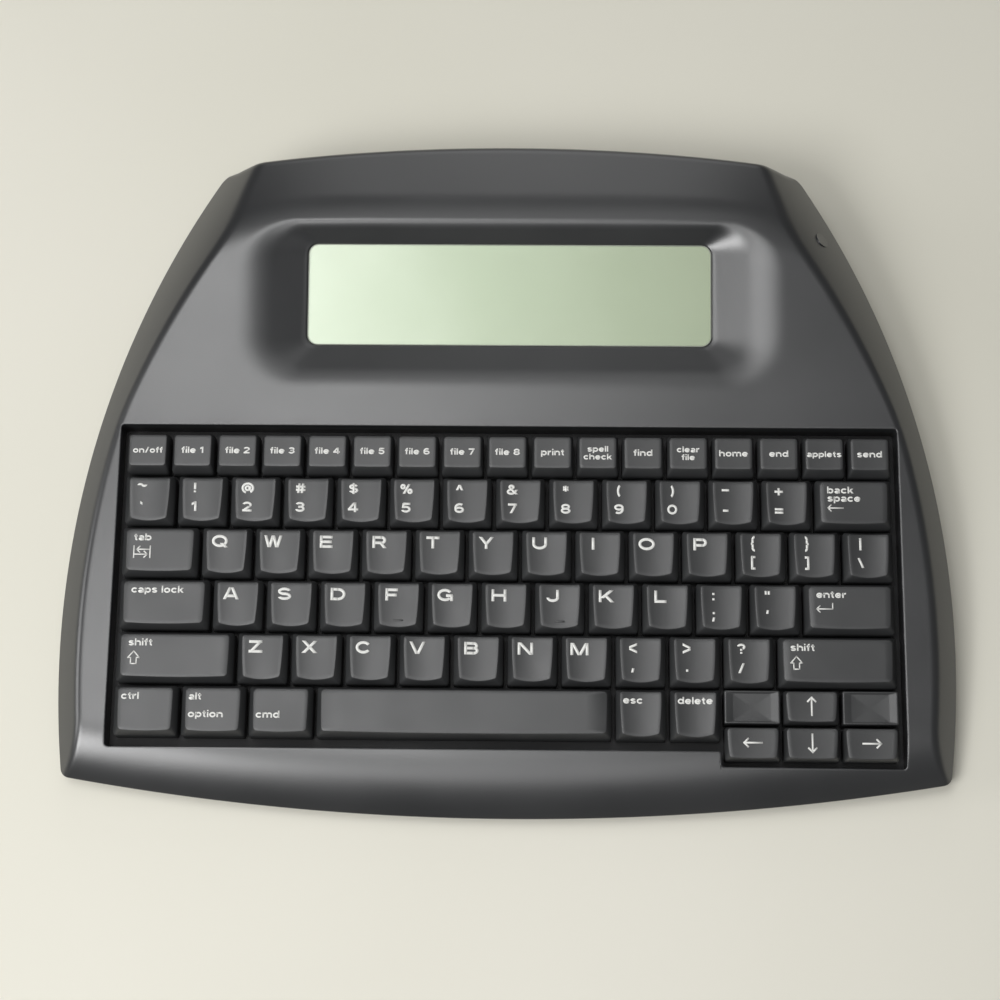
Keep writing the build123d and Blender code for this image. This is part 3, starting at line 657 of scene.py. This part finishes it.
# A wide bold alphabet of the builder's own. Each row has a glyph, its width and its strokes, in
# units of the capitals' height: four numbers are a straight bar from end to end, six are an arc's
# centre, its two radii and the angles that it starts and ends at.
GLYPH_ROWS = r"""
A 1.3 .13 0 .58 1, 1.17 0 .72 1, .3 .29 1 .29
B 1.14 .11 0 .11 1, 0 .9 .75 .9, 0 .51 .78 .51, 0 .1 .78 .1, .75 .705 .24 .195 -90 90,
    .77 .305 .27 .205 -90 90
C 1.24 .62 .5 .51 .4 35 325
D 1.2 .11 0 .11 1, 0 .9 .62 .9, 0 .1 .62 .1, .6 .5 .49 .4 -90 90
E 1.05 .11 0 .11 1, 0 .9 1.03 .9, 0 .5 .98 .5, 0 .1 1.05 .1
F 1 .11 0 .11 1, 0 .9 1 .9, 0 .47 .92 .47
G 1.28 .62 .5 .51 .4 35 320, .7 .45 1.25 .45, 1.16 0 1.16 .5
H 1.2 .11 0 .11 1, 1.09 0 1.09 1, 0 .51 1.2 .51
I .24 .12 0 .12 1
J 1 .89 .32 .89 1, .5 .34 .39 .24 180 360
K 1.25 .11 0 .11 1, .24 .33 1.04 1, .5 .6 1.1 0
L .98 .11 0 .11 1, 0 .1 .98 .1
M 1.44 .1 0 .1 1, 1.34 0 1.34 1, .16 1 .7 0, 1.28 1 .74 0
N 1.22 .1 0 .1 1, 1.12 0 1.12 1, .14 1 1.08 0
O 1.34 .67 .5 .56 .4 0 360
P 1.12 .11 0 .11 1, 0 .9 .76 .9, 0 .43 .76 .43, .74 .665 .26 .235 -90 90
Q 1.28 .63 .5 .53 .4 0 360, .78 .34 1.17 -.04
R 1.16 .11 0 .11 1, 0 .9 .76 .9, 0 .44 .76 .44, .74 .67 .26 .23 -90 90, .66 .46 1.02 0
S 1.1 .55 .7 .42 .2 20 270, .55 .3 .44 .2 -160 90
T 1.08 0 .9 1.08 .9, .54 0 .54 1
U 1.2 .11 .4 .11 1, 1.09 .4 1.09 1, .6 .42 .49 .32 180 360
V 1.28 .12 1 .6 0, 1.16 1 .68 0
W 1.46 .11 1 .4 0, .71 1 .44 0, .75 1 1.02 0, 1.35 1 1.06 0
X 1.24 .14 0 1.1 1, .14 1 1.1 0
Y 1.24 .14 1 .62 .4, 1.1 1 .62 .4, .62 0 .62 .5
Z 1.12 .02 .9 1.08 .9, 0 .1 1.12 .1, .2 .1 .92 .9
0 1 .5 .5 .39 .4 0 360
1 .62 .42 0 .42 1, .04 .72 .4 .88
2 .96 .47 .68 .36 .22 -38 165, .16 .12 .72 .56, 0 .1 .95 .1
3 .96 .46 .71 .34 .19 -90 160, .46 .31 .37 .21 -165 90, .3 .51 .5 .51
4 1.04 .72 0 .72 1, .12 .3 .66 .98, 0 .28 1.04 .28
5 .96 .16 .9 .88 .9, .16 .44 .22 .95, .45 .34 .38 .24 -160 135
6 .98 .49 .32 .37 .22 0 360, .54 .5 .43 .4 55 205
7 .92 0 .9 .92 .9, .3 0 .78 .88
8 .98 .49 .71 .33 .19 0 360, .49 .3 .38 .2 0 360
9 .98 .49 .68 .37 .22 0 360, .44 .5 .43 .4 -125 25
~ .94 .27 .7 .18 .12 10 180, .65 .78 .19 .13 180 360
` .3 .02 .86 .24 .72
! .24 .12 .32 .12 1, .12 0 .12 .19
@ 1.2 .6 .48 .52 .48 -60 250, .58 .48 .2 .2 0 360, .82 .3 .86 .72, .97 .42 .15 .18 180 340
# .96 .24 0 .36 1, .6 0 .72 1, 0 .67 .96 .67, 0 .33 .96 .33
$ .9 .45 .69 .34 .18 20 270, .45 .33 .36 .18 -160 90, .45 -.06 .45 1.08
% 1.2 .25 .73 .17 .18 0 360, .95 .27 .17 .18 0 360, .34 0 .86 1
^ .8 .14 .4 .4 .96, .66 .4 .4 .96
& 1.14 .46 .77 .2 .15 0 360, .42 .28 .33 .2 100 340, .3 .68 .98 .02, .7 .18 .98 .5
* .8 .4 .35 .4 .95, .12 .52 .68 .8, .12 .8 .68 .52
( .42 .62 .45 .5 .72 130 230
) .42 -.2 .45 .5 .72 -50 50
_ .76 0 .6 .76 .6
- .56 0 .42 .56 .42
+ .86 0 .48 .86 .48, .43 .1 .43 .86
= .86 0 .6 .86 .6, 0 .26 .86 .26
{ .5 .42 .86 .2 .28 90 180, .42 .04 .2 .28 180 270, .22 .5 .22 .9, .22 0 .22 .4, .04 .45 .22 .45
} .5 .08 .86 .2 .28 0 90, .08 .04 .2 .28 270 360, .28 .5 .28 .9, .28 0 .28 .4, .28 .45 .46 .45
[ .44 .1 -.22 .1 1.1, 0 1.02 .44 1.02, 0 -.14 .44 -.14
] .44 .34 -.22 .34 1.1, 0 1.02 .44 1.02, 0 -.14 .44 -.14
| .2 .1 -.15 .1 1.1
\ .7 .14 1 .56 0
/ .66 .12 0 .54 1
: .24 .12 0 .12 .22, .12 .54 .12 .76
; .24 .14 .54 .14 .76, .16 .22 .06 -.2
" .5 .1 .62 .1 1, .4 .62 .4 1
' .2 .12 1 .06 .62
< .86 .06 .52 .86 .88, .06 .44 .86 .08
> .86 .8 .52 0 .88, .8 .44 0 .08
, .24 .16 .4 .06 -.02
. .22 .11 .1 .11 .34
? .84 .42 .7 .31 .2 -60 170, .42 .3 .42 .5, .42 0 .42 .19
a .8 .68 0 .68 .46, .4 .46 .28 .17 0 155, .36 .2 .25 .12 0 360
b .88 .1 0 .1 1, .45 .36 .33 .27 0 360
c .82 .44 .36 .34 .27 40 320
d .88 .78 0 .78 1, .43 .36 .33 .27 0 360
e .86 .43 .36 .34 .27 0 325, .12 .36 .82 .36
f .5 .24 0 .24 .8, .42 .78 .18 .13 85 180, 0 .64 .48 .64
h .86 .1 0 .1 1, .76 0 .76 .4, .43 .38 .33 .25 0 170
i .2 .1 0 .1 .72, .1 .84 .1 1.02
k .82 .1 0 .1 1, .2 .24 .66 .72, .34 .42 .7 0
l .2 .1 0 .1 1
m 1.34 .1 0 .1 .72, .67 0 .67 .44, 1.24 0 1.24 .44, .385 .42 .285 .22 0 170,
    .955 .42 .285 .22 0 170
n .86 .1 0 .1 .72, .76 0 .76 .4, .43 .38 .33 .25 0 170
o .88 .44 .36 .34 .27 0 360
p .88 .1 -.26 .1 .72, .45 .36 .33 .27 0 360
r .54 .1 0 .1 .72, .46 .36 .34 .27 80 165
s .76 .38 .51 .26 .12 20 270, .38 .22 .28 .13 -160 90
t .5 .24 .2 .24 .92, .42 .22 .18 .13 180 275, 0 .64 .48 .64
u .86 .1 .3 .1 .72, .76 0 .76 .72, .43 .33 .33 .24 180 350
"""


def read_glyph(row):
    letter, width, strokes = row.split(None, 2)
    strokes = [tuple(map(float, numbers.split())) for numbers in strokes.split(",")]
    return letter, (float(width), strokes)


GLYPHS = dict(map(read_glyph, GLYPH_ROWS.replace("\n    ", " ").strip().split("\n")))
GLYPHS[" "] = WORD_GAP, []


def stroke(numbers):
    """The two edges of a stroke: rows of points on its left and on its right."""
    if len(numbers) == 4:
        x0, y0, x1, y1 = numbers
        wide, high = abs(x1 - x0), abs(y1 - y0)
        reach = WEIGHT * np.hypot(wide, high) / 2
        half = (reach / high, 0) if high > 0.7 * wide else (0, reach / wide)
        middle = np.linspace((x0, y0), (x1, y1), 2 + int(4 * wide))
        return middle - half, middle + half
    cx, cy, rx, ry, first, last = numbers
    turn = np.radians(np.linspace(first, last, 4 + int(abs(last - first) / 11)))
    rays = np.column_stack([np.cos(turn), np.sin(turn)])
    return [(cx, cy) + rays * (rx + out, ry + out) for out in (-WEIGHT / 2, WEIGHT / 2)]


def text_width(text):
    return sum(GLYPHS[letter][0] for letter in text) + LETTER_GAP * (len(text) - 1)


def write_text(build, cap, text, height, at, align="CENTER"):
    """Prints a line whose capitals have this height, its baseline at a place on the cap."""
    pen = at[0] - (height * text_width(text) / 2 if align == "CENTER" else 0)
    for letter in text:
        width, strokes = GLYPHS[letter]
        for numbers in strokes:
            left, right = ((pen, at[1]) + edge * height for edge in stroke(numbers))
            around = [cap.lay(build, left, INK), cap.lay(build, right, INK),
                      cap.lay(build, right, -SUNK), cap.lay(build, left, -SUNK)]
            build.stack(around + around[:1], closed=False)
            build.faces += [tuple(row[end] for row in around) for end in (0, -1)]
        pen += height * (width + LETTER_GAP)


def draw_strokes(build, cap, at, lines, thick):
    """Prints straight strokes along lines of points, in millimetres about a place on the cap."""
    for line in lines:
        for start, end in zip(line, line[1:]):
            ends = np.array((start, end), float)
            along = unit(ends[1] - ends[0]) * thick / 2
            across = np.array((-along[1], along[0]))
            corners = at + ends[[0, 1, 1, 0]] + np.outer((-1, 1, 1, -1), along)
            corners += np.outer((-1, -1, 1, 1), across)
            rows = [cap.lay(build, corners, lift) for lift in (-SUNK, INK)]
            build.bridge(*rows)
            build.faces += [tuple(rows[0][::-1]), tuple(rows[1])]


def arrow_lines(length, head, turn=0.0):
    """An open-headed arrow through the origin that points to the right, then turned."""
    tip = length / 2
    lines = [[(-tip, 0), (tip, 0)], [(tip - head, head), (tip, 0), (tip - head, -head)]]
    c, s = cos(turn), sin(turn)
    return [[(px * c - py * s, px * s + py * c) for px, py in line] for line in lines]


def move_lines(lines, dx, dy):
    return [[(px + dx, py + dy) for px, py in line] for line in lines]


# the heights of the capitals, the thickness of drawn signs, and the step between two lines
LETTER_SIZE, SIGN_SIZE, WORD_SIZE = 4.35, 3.55, 2.5
FUNCTION_SIZE, TIGHT_SIZE = 2.35, 2.15
ARROW_LINE, SIGN_LINE = 0.62, 0.42
FUNCTION_STEP, OPTION_STEP, WORD_STEP = 2.9, 6.2, 3.0


def write_legend(build, cap, node, legend):
    """Prints a key's legend; places are millimetres from the cap face's left and rear edges."""
    left, rear = -cap.half, cap.rear
    if node == "function_keys":
        words = legend.split() if legend in ("spell check", "clear file") else [legend]
        for n, word in enumerate(words):
            line = cap.middle - 1.0 + (0.5 * (len(words) - 1) - n) * FUNCTION_STEP
            tight = len(words) > 1 or len(word) > 6 or "/" in word
            write_text(build, cap, word, TIGHT_SIZE if tight else FUNCTION_SIZE, (0, line))
    elif node == "arrow_keys":
        turn = {"right": 0, "up": pi / 2, "left": pi, "down": -pi / 2}[legend]
        draw_strokes(build, cap, (0, 0.3), arrow_lines(6.2, 1.35, turn), ARROW_LINE)
    elif node.startswith("key_"):
        write_text(build, cap, legend, LETTER_SIZE, (left + 4.9, rear - 6.3))
    elif node in ("number_keys", "punctuation_keys"):
        for sign, down in zip(legend, (5.3, 12.2)):
            write_text(build, cap, sign, SIGN_SIZE, (left + 4.6, rear - down))
    else:
        write_words(build, cap, legend)


def write_words(build, cap, legend):
    left, rear = -cap.half + 2.8, cap.rear
    lines = {"back space": ("back", "space"), "alt option": ("alt", "option")}
    first = rear - (4.2 if legend != "cmd" else 10.4)
    step = OPTION_STEP if legend == "alt option" else WORD_STEP
    start = left - (1.6 if legend in ("esc", "delete", "ctrl", "alt option", "cmd") else 0)
    for n, word in enumerate(lines.get(legend, (legend,))):
        write_text(build, cap, word, WORD_SIZE, (start, first - n * step), "LEFT")
    place, sign = None, []
    if legend == "tab":
        sign = [[(-2.9, 2.1), (-2.9, -2.1)], [(2.9, 2.1), (2.9, -2.1)]]
        sign += move_lines(arrow_lines(4.4, 1.1, pi), 0.3, 0.9)
        sign += move_lines(arrow_lines(4.4, 1.1), -0.3, -0.9)
        place = (left + 3.0, rear - 8.4)
    elif legend == "shift":
        half = [(1.0, -2.1), (1.0, 0.1), (2.0, 0.1)]
        sign = [[*((-px, py) for px, py in half), (0, 2.4), *half[::-1], (-1.0, -2.1)]]
        place = (left + 2.0, rear - 8.6)
    elif legend == "enter":
        sign = move_lines(arrow_lines(5.6, 1.1, pi), 0, -0.6) + [[(2.8, -0.6), (2.8, 1.4)]]
        place = (left + 2.8, rear - 7.6)
    elif legend == "back space":
        sign = arrow_lines(5.4, 1.1, pi)
        place = (left + 2.8, rear - 9.6)
    draw_strokes(build, cap, place, sign, SIGN_LINE)


# ---- materials
def node_links(name):
    made = bpy.data.materials.new(name)
    made.use_nodes = True
    tree = made.node_tree
    shader = tree.nodes["Principled BSDF"]
    place = tree.nodes.new("ShaderNodeTexCoord").outputs["Object"]
    return made, tree, shader, place


def fill(tree, node, values):
    """Sets a node's inputs, and links those whose value is another node's output."""
    for name, value in values.items():
        if isinstance(value, bpy.types.NodeSocket):
            tree.links.new(value, node.inputs[name])
        else:
            node.inputs[name].default_value = value


def add_node(tree, kind, output, values):
    made = tree.nodes.new("ShaderNode" + kind)
    fill(tree, made, values)
    return made.outputs[output]


def noise(tree, place, scale, detail=2.0):
    return add_node(tree, "TexNoise", "Fac", {"Vector": place, "Scale": scale, "Detail": detail})


def spread(tree, value, low, high, out_low, out_high):
    return add_node(tree, "MapRange", "Result", {
        "Value": value, "From Min": low, "From Max": high, "To Min": out_low, "To Max": out_high})


def bump(tree, height, strength, distance):
    return add_node(tree, "Bump", "Normal", {
        "Height": height, "Strength": strength, "Distance": distance})


def ramp(tree, value, stops):
    made = tree.nodes.new("ShaderNodeValToRGB")
    band = made.color_ramp
    while len(band.elements) < len(stops):
        band.elements.new(0.5)
    for element, (at, colour) in zip(band.elements, stops):
        element.position = at
        element.color = (*colour, 1)
    tree.links.new(value, made.inputs["Fac"])
    return made.outputs["Color"]


COAT_ROUGHNESS = 0.3


def surface(name, colours, roughness, grain, grain_depth, patch=18.0, metallic=0.0,
            specular=0.5, coat=0.0):
    """A moulded, rubbed or plated surface: tone and gloss that wander, and a fine grain."""
    made, tree, shader, place = node_links(name)
    wander = noise(tree, place, patch, 4.0)
    fill(tree, shader, {
        "Base Color": ramp(tree, wander, [(0.3, colours[0]), (0.7, colours[1])]),
        "Roughness": spread(tree, wander, 0.3, 0.7, *roughness),
        "Normal": bump(tree, noise(tree, place, grain), 0.35, grain_depth),
        "Metallic": metallic,
        "Specular IOR Level": specular,
        "Coat Weight": coat,
        "Coat Roughness": COAT_ROUGHNESS,
    })
    return made


DISPLAY_REACH = 0.074  # half of the display's width, in metres


def display_material():
    """The reflective display: a painted reflection makes its green pale at the left and deeper to
    the right, with faint cloudiness.
    """
    made, tree, shader, place = node_links("display_green_painted_reflection")
    along = add_node(tree, "SeparateXYZ", "X", {"Vector": place})
    # painted reflection: a share across the display's width, from its pale left to its deep right
    across = spread(tree, along, -DISPLAY_REACH, DISPLAY_REACH, 0.0, 1.0)
    cloud = spread(tree, noise(tree, place, 22.0, 3.0), 0.3, 0.7, -0.04, 0.04)
    fill(tree, shader, {
        # the ramp's pale-to-deep stops are the painted reflection; the cloud is random tone
        "Base Color": ramp(tree, add_node(tree, "Math", "Value", {0: across, 1: cloud}), [
            (0.0, (0.76, 0.86, 0.68)), (0.45, (0.50, 0.60, 0.41)), (1.0, (0.31, 0.375, 0.225))]),
        "Roughness": spread(tree, cloud, -0.04, 0.04, 0.3, 0.42),
    })
    return made


def window_material():
    """The clear lens: almost nothing but its gloss."""
    made, tree, shader, place = node_links("clear_lens")
    fill(tree, shader, {
        "Base Color": ramp(tree, noise(tree, place, 30.0),
                           [(0.3, (0.82, 0.88, 0.78)), (0.7, (0.86, 0.9, 0.82))]),
        "Roughness": spread(tree, noise(tree, place, 60.0), 0.3, 0.7, 0.16, 0.22),
        "Alpha": 0.1,
    })
    return made


# name, two tones, least and most roughness, the grain's scale and depth, and what is special
SURFACES = {
    "case": ("case_charcoal", ((0.013, 0.0138, 0.0152), (0.018, 0.0188, 0.0205)),
             (0.31, 0.38), 2300.0, 6e-5, {"specular": 0.95, "coat": 0.35}),
    "key": ("key_charcoal", ((0.024, 0.025, 0.026), (0.03, 0.031, 0.032)),
            (0.38, 0.46), 1900.0, 4e-5, {"patch": 60.0, "specular": 0.8}),
    "ink": ("key_print", ((0.74, 0.74, 0.71), (0.8, 0.8, 0.77)), (0.5, 0.6), 2500.0, 1e-5, {}),
    "frame": ("inner_black", ((0.006, 0.006, 0.007), (0.011, 0.011, 0.012)),
              (0.5, 0.65), 1200.0, 5e-5, {}),
    "rubber": ("foot_rubber", ((0.012, 0.012, 0.012), (0.02, 0.02, 0.02)),
               (0.7, 0.85), 900.0, 8e-5, {"patch": 80.0}),
    "board": ("board_green", ((0.02, 0.11, 0.05), (0.03, 0.15, 0.07)),
              (0.3, 0.45), 700.0, 4e-5, {}),
    "film": ("clear_film", ((0.5, 0.5, 0.45), (0.56, 0.56, 0.5)), (0.25, 0.35), 300.0, 3e-5, {}),
    "plate": ("plated_sheet", ((0.55, 0.55, 0.56), (0.64, 0.64, 0.64)),
              (0.25, 0.38), 600.0, 3e-5, {"patch": 90.0, "metallic": 1.0}),
    "dark_steel": ("blackened_steel", ((0.08, 0.08, 0.085), (0.13, 0.13, 0.13)),
                   (0.35, 0.5), 900.0, 3e-5, {"patch": 120.0, "metallic": 1.0}),
    "jacket": ("cell_jacket", ((0.14, 0.15, 0.17), (0.18, 0.19, 0.21)),
               (0.3, 0.4), 500.0, 2e-5, {}),
    # a pale opaque ring round the lens: its colour is a painted highlight of the clear lens's lit
    # polished edge
    "lens_edge": ("lens_edge", ((0.26, 0.28, 0.24), (0.32, 0.34, 0.29)),
                  (0.3, 0.4), 900.0, 1e-5, {"patch": 90.0}),
}


def make_materials():
    made = {look: surface(*values, **special) for look, (*values, special) in SURFACES.items()}
    return {**made, "display": display_material(), "lens": window_material()}


# ---- small parts
WINDOW_FIT, PLATE_DEEP, PLATE_EDGE = 0.1, 18.9, 0.1


def make_display(lens, edge, picture):
    """The window's clear face, a pale ring round it whose colour is a painted highlight of its
    polished edge, and the picture right under it.
    """
    def plate(name, low, high, inset, material, hollow=None):
        build = Build()
        half, corner = (size - WINDOW_FIT - inset for size in (WINDOW_X, WINDOW_CORNER))
        deep = PLATE_DEEP - inset
        steps = [(0, low), (0, high - PLATE_EDGE), (PLATE_EDGE, high)]
        steps += [(hollow, high), (hollow, low)] if hollow else []
        rows = [build.ring(rounded_loop(half - draw, deep - draw, draw - deep, corner - draw,
                                        end_steps=40), level) for draw, level in steps]
        if hollow:
            build.stack(rows + rows[:1])
        else:
            build.close(rows, (0, 0, low), (0, 0, high))
        return add_object(name, build, "base", material, display_to_world, smooth=False)

    window = plate("window_lens", -0.44, -0.2, 0.3, lens)
    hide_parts("display_window")
    # the ring's pale colour is a painted highlight of the lens's polished edge
    plate("lens_edge", -2.3, -0.22, 0.0, edge, 0.28)
    plate("display_picture", -2.2, -0.46, 0.3, picture)


def turned(build, centre, profile, steps=40):
    """A solid turned about an upright axis from (radius, height) points, closed at both ends."""
    turn = np.linspace(0, 2 * pi, steps, endpoint=False)
    circle = np.column_stack([np.cos(turn), np.sin(turn)])
    rows = [build.ring(centre + radius * circle, height) for radius, height in profile]
    build.close(rows, (*centre, profile[0][1]), (*centre, profile[-1][1]))


FEET = ((132, -98), (-132, -98), (98, 96), (-98, 96))
FOOT_PROFILE = [(5.0, 0.25), (5.2, 0.05), (5.5, 0.05), (5.85, 0.25), (6.0, 0.6), (6.0, 2.2)]


def make_feet(material):
    build = Build()
    for place in FEET:
        turned(build, place, FOOT_PROFILE)
    feet = add_object("feet", build, "base", material, millimetres)
    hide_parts("rubber_feet")


SCREWS = ((55.0, -110.6), (149.6, -30.0), (88.0, 108.0))
SCREW_PROFILE = [(0.75, 2.35), (1.5, 2.1), (2.2, 2.25), (2.6, 2.75), (2.6, 3.7)]


def make_screws(material):
    """Pan-headed screws in their seats under the case, each with a cross recess."""
    build = Build()
    for deck_x, deck_y in SCREWS:
        for side in (-1, 1):
            x, y, _ = to_world([(side * deck_x, deck_y, RIM)])[0] * 1000
            turned(build, (x, y), SCREW_PROFILE, 28)
            for dx, dy in ((1.5, 0.22), (0.22, 1.5)):
                build.box((x - dx, y - dy, 2.0), (x + dx, y + dy, 2.4))
    add_object("case_screws", build, "base", material, millimetres)


TONGUE_LEAN = tan(radians(12.0))
TONGUE_FOOT, TONGUE_TOP, TONGUE_THICK = 27.95, 31.45, 2.2
TONGUE_EDGE, TONGUE_CHAMFER = 0.15, 0.2


def make_socket_tongue(material):
    """The piece of wall that the top case lets down over the low socket."""
    def wall_y(x, z):
        _, y, top = to_world([(x, REAR_REACH - x * x / (2 * REAR_RADIUS), RIM)])[0] * 1000
        return y - (top - z) * TONGUE_LEAN

    build = Build()
    rows = []
    for x in (19.45, 19.6, 22.6, 26.0, 29.4, 32.4, 32.55):
        draw = TONGUE_EDGE if x in (19.45, 32.55) else 0.0
        low = TONGUE_FOOT + draw
        top_y, foot_y = wall_y(x, TONGUE_TOP), wall_y(x, low)
        section = [(top_y - TONGUE_THICK, TONGUE_TOP), (top_y - draw, TONGUE_TOP),
                   (foot_y - draw, low + TONGUE_CHAMFER), (foot_y - draw - TONGUE_CHAMFER, low),
                   (foot_y - TONGUE_THICK, low)]
        rows.append(build.add([(x, y, z) for y, z in section]))
    build.stack(rows)
    build.faces += [tuple(rows[0]), tuple(rows[-1])]
    add_object("socket_tongue", build, "base", material, millimetres, smooth=False)


def make_port_tongues(plastic, metal):
    """The contact blocks inside the two sockets at the rear, from the middle of each socket."""
    low_b, high_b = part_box("usb_b_port")
    low_a, high_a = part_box("usb_a_port")
    block, strips = Build(), Build()
    mid_b, mid_a = (low_b + high_b) * 500, (low_a + high_a) * 500
    rear_b, rear_a = high_b.y * 1000, high_a.y * 1000

    def bar(build, middle, rear, x, half, far, near, low, high):
        build.box((middle.x + x - half, rear - far, middle.z + low),
                  (middle.x + x + half, rear - near, middle.z + high))

    bar(block, mid_b, rear_b, 0, 2.8, 15, 2.5, -1.6, 1.6)
    bar(block, mid_a, rear_a, 0, 5.6, 13, 1.2, 0.3, 2.1)
    for n in range(4):
        bar(strips, mid_a, rear_a, (n - 1.5) * 2.4, 0.5, 12, 2.0, 0.1, 0.4)
    for side in (-1, 1):
        for level in (-1.7, 1.5):
            bar(strips, mid_b, rear_b, side * 1.3, 0.45, 14, 3.2, level, level + 0.2)
    add_object("port_tongues", block, "base", plastic, millimetres)
    add_object("port_contacts", strips, "base", metal, millimetres)


def dress_nodes(looks):
    """Better materials for the solids that stay in view."""
    by_look = {
        "case": ("bottom_case", "battery_door", "side_plug"),
        "frame": ("keyboard_frame", "lcd_frame", "key_domes"),
        "board": ("main_board", "lcd_board"),
        "film": ("switch_membrane", "ribbon_cables"),
        "plate": ("keyboard_backplate", "usb_b_port", "usb_a_port", "backup_cell",
                  "battery_contacts"),
        "jacket": ("battery_cells",),
        "display": ("lcd_panel",),
        "lens": ("display_window",),
    }
    for look, names in by_look.items():
        for name in names:
            mesh = nodes[name].data
            mesh.materials.clear()
            mesh.materials.append(looks[look])


# ---- camera, floor and light
# fitted to the key grid in the photograph: focal length, place, and the axes right, up and back
CAMERA_LENS, CAMERA_PLACE = 76.57, (0.0125, -0.2742, 0.7441)
CAMERA_AXES = ((0.99978, 0.01331, -0.01613), (-0.00698, 0.93952, 0.34242),
               (0.01972, -0.34224, 0.93940))


def make_camera():
    data = bpy.data.cameras.new("camera")
    data.sensor_fit, data.sensor_width, data.lens = "HORIZONTAL", 36.0, CAMERA_LENS
    camera = new_object("camera", data)
    turn = Matrix(CAMERA_AXES).transposed().to_4x4()
    camera.matrix_world = Matrix.Translation(CAMERA_PLACE) @ turn
    bpy.context.scene.camera = camera


FLOOR_HALF = 6


def make_floor():
    made, tree, shader, place = node_links("table_cloth")
    fill(tree, shader, {
        "Base Color": ramp(tree, noise(tree, place, 2.2, 3.0),
                           [(0.3, (0.68, 0.665, 0.575)), (0.7, (0.75, 0.73, 0.65))]),
        "Roughness": 0.9,
        "Specular IOR Level": 0.2,
    })
    mesh = bpy.data.meshes.new("table")
    corners = [(x * FLOOR_HALF, y * FLOOR_HALF, 0) for x, y in ((-1, -1), (1, -1), (1, 1), (-1, 1))]
    mesh.from_pydata(corners, [], [(0, 1, 2, 3)])
    mesh.materials.append(made)
    table = new_object("table", mesh)


# the soft lamps: the angle over the table and the bearing from +X, in degrees, and the watts
LAMPS = {
    "window": (48, 225, 10.3),
    "room_left": (65, 180, 1.1),
    "room_front": (65, 270, 2.2),
    "room_rear": (65, 90, 1.0),
    "room_over": (80, 180, 4.1),
    "low_left": (25, 180, 3.4),
    "low_rear": (25, 90, 1.4),
}
LAMP_REACH, LAMP_SIZE = 1.4, 0.55
SKY_STRENGTH = 0.14


def make_light():
    world = bpy.data.worlds.new("studio")
    world.use_nodes = True
    sky = world.node_tree.nodes["Background"]
    sky.inputs["Color"].default_value = (1, 1, 0.99, 1)
    sky.inputs["Strength"].default_value = SKY_STRENGTH
    bpy.context.scene.world = world
    for name, (rise, bearing, power) in LAMPS.items():
        data = bpy.data.lights.new(name, "AREA")
        data.shape, data.size, data.energy = "SQUARE", LAMP_SIZE, power
        lamp = new_object(name, data)
        level = LAMP_REACH * cos(radians(rise))
        place = Vector((level * cos(radians(bearing)), level * sin(radians(bearing)),
                        LAMP_REACH * sin(radians(rise))))
        lamp.location = place
        lamp.rotation_euler = (-place).to_track_quat("-Z", "Y").to_euler()


# ---- the scene
make_camera()
looks = make_materials()
dress_nodes(looks)
make_top_case(looks["case"])
make_keys(looks["key"], looks["ink"])
make_filler_keys(looks["key"])
make_display(looks["lens"], looks["lens_edge"], looks["display"])
make_feet(looks["rubber"])
make_screws(looks["dark_steel"])
make_socket_tongue(looks["case"])
make_port_tongues(looks["frame"], looks["plate"])
make_floor()
make_light()

bpy.context.scene.view_settings.view_transform = "Standard"
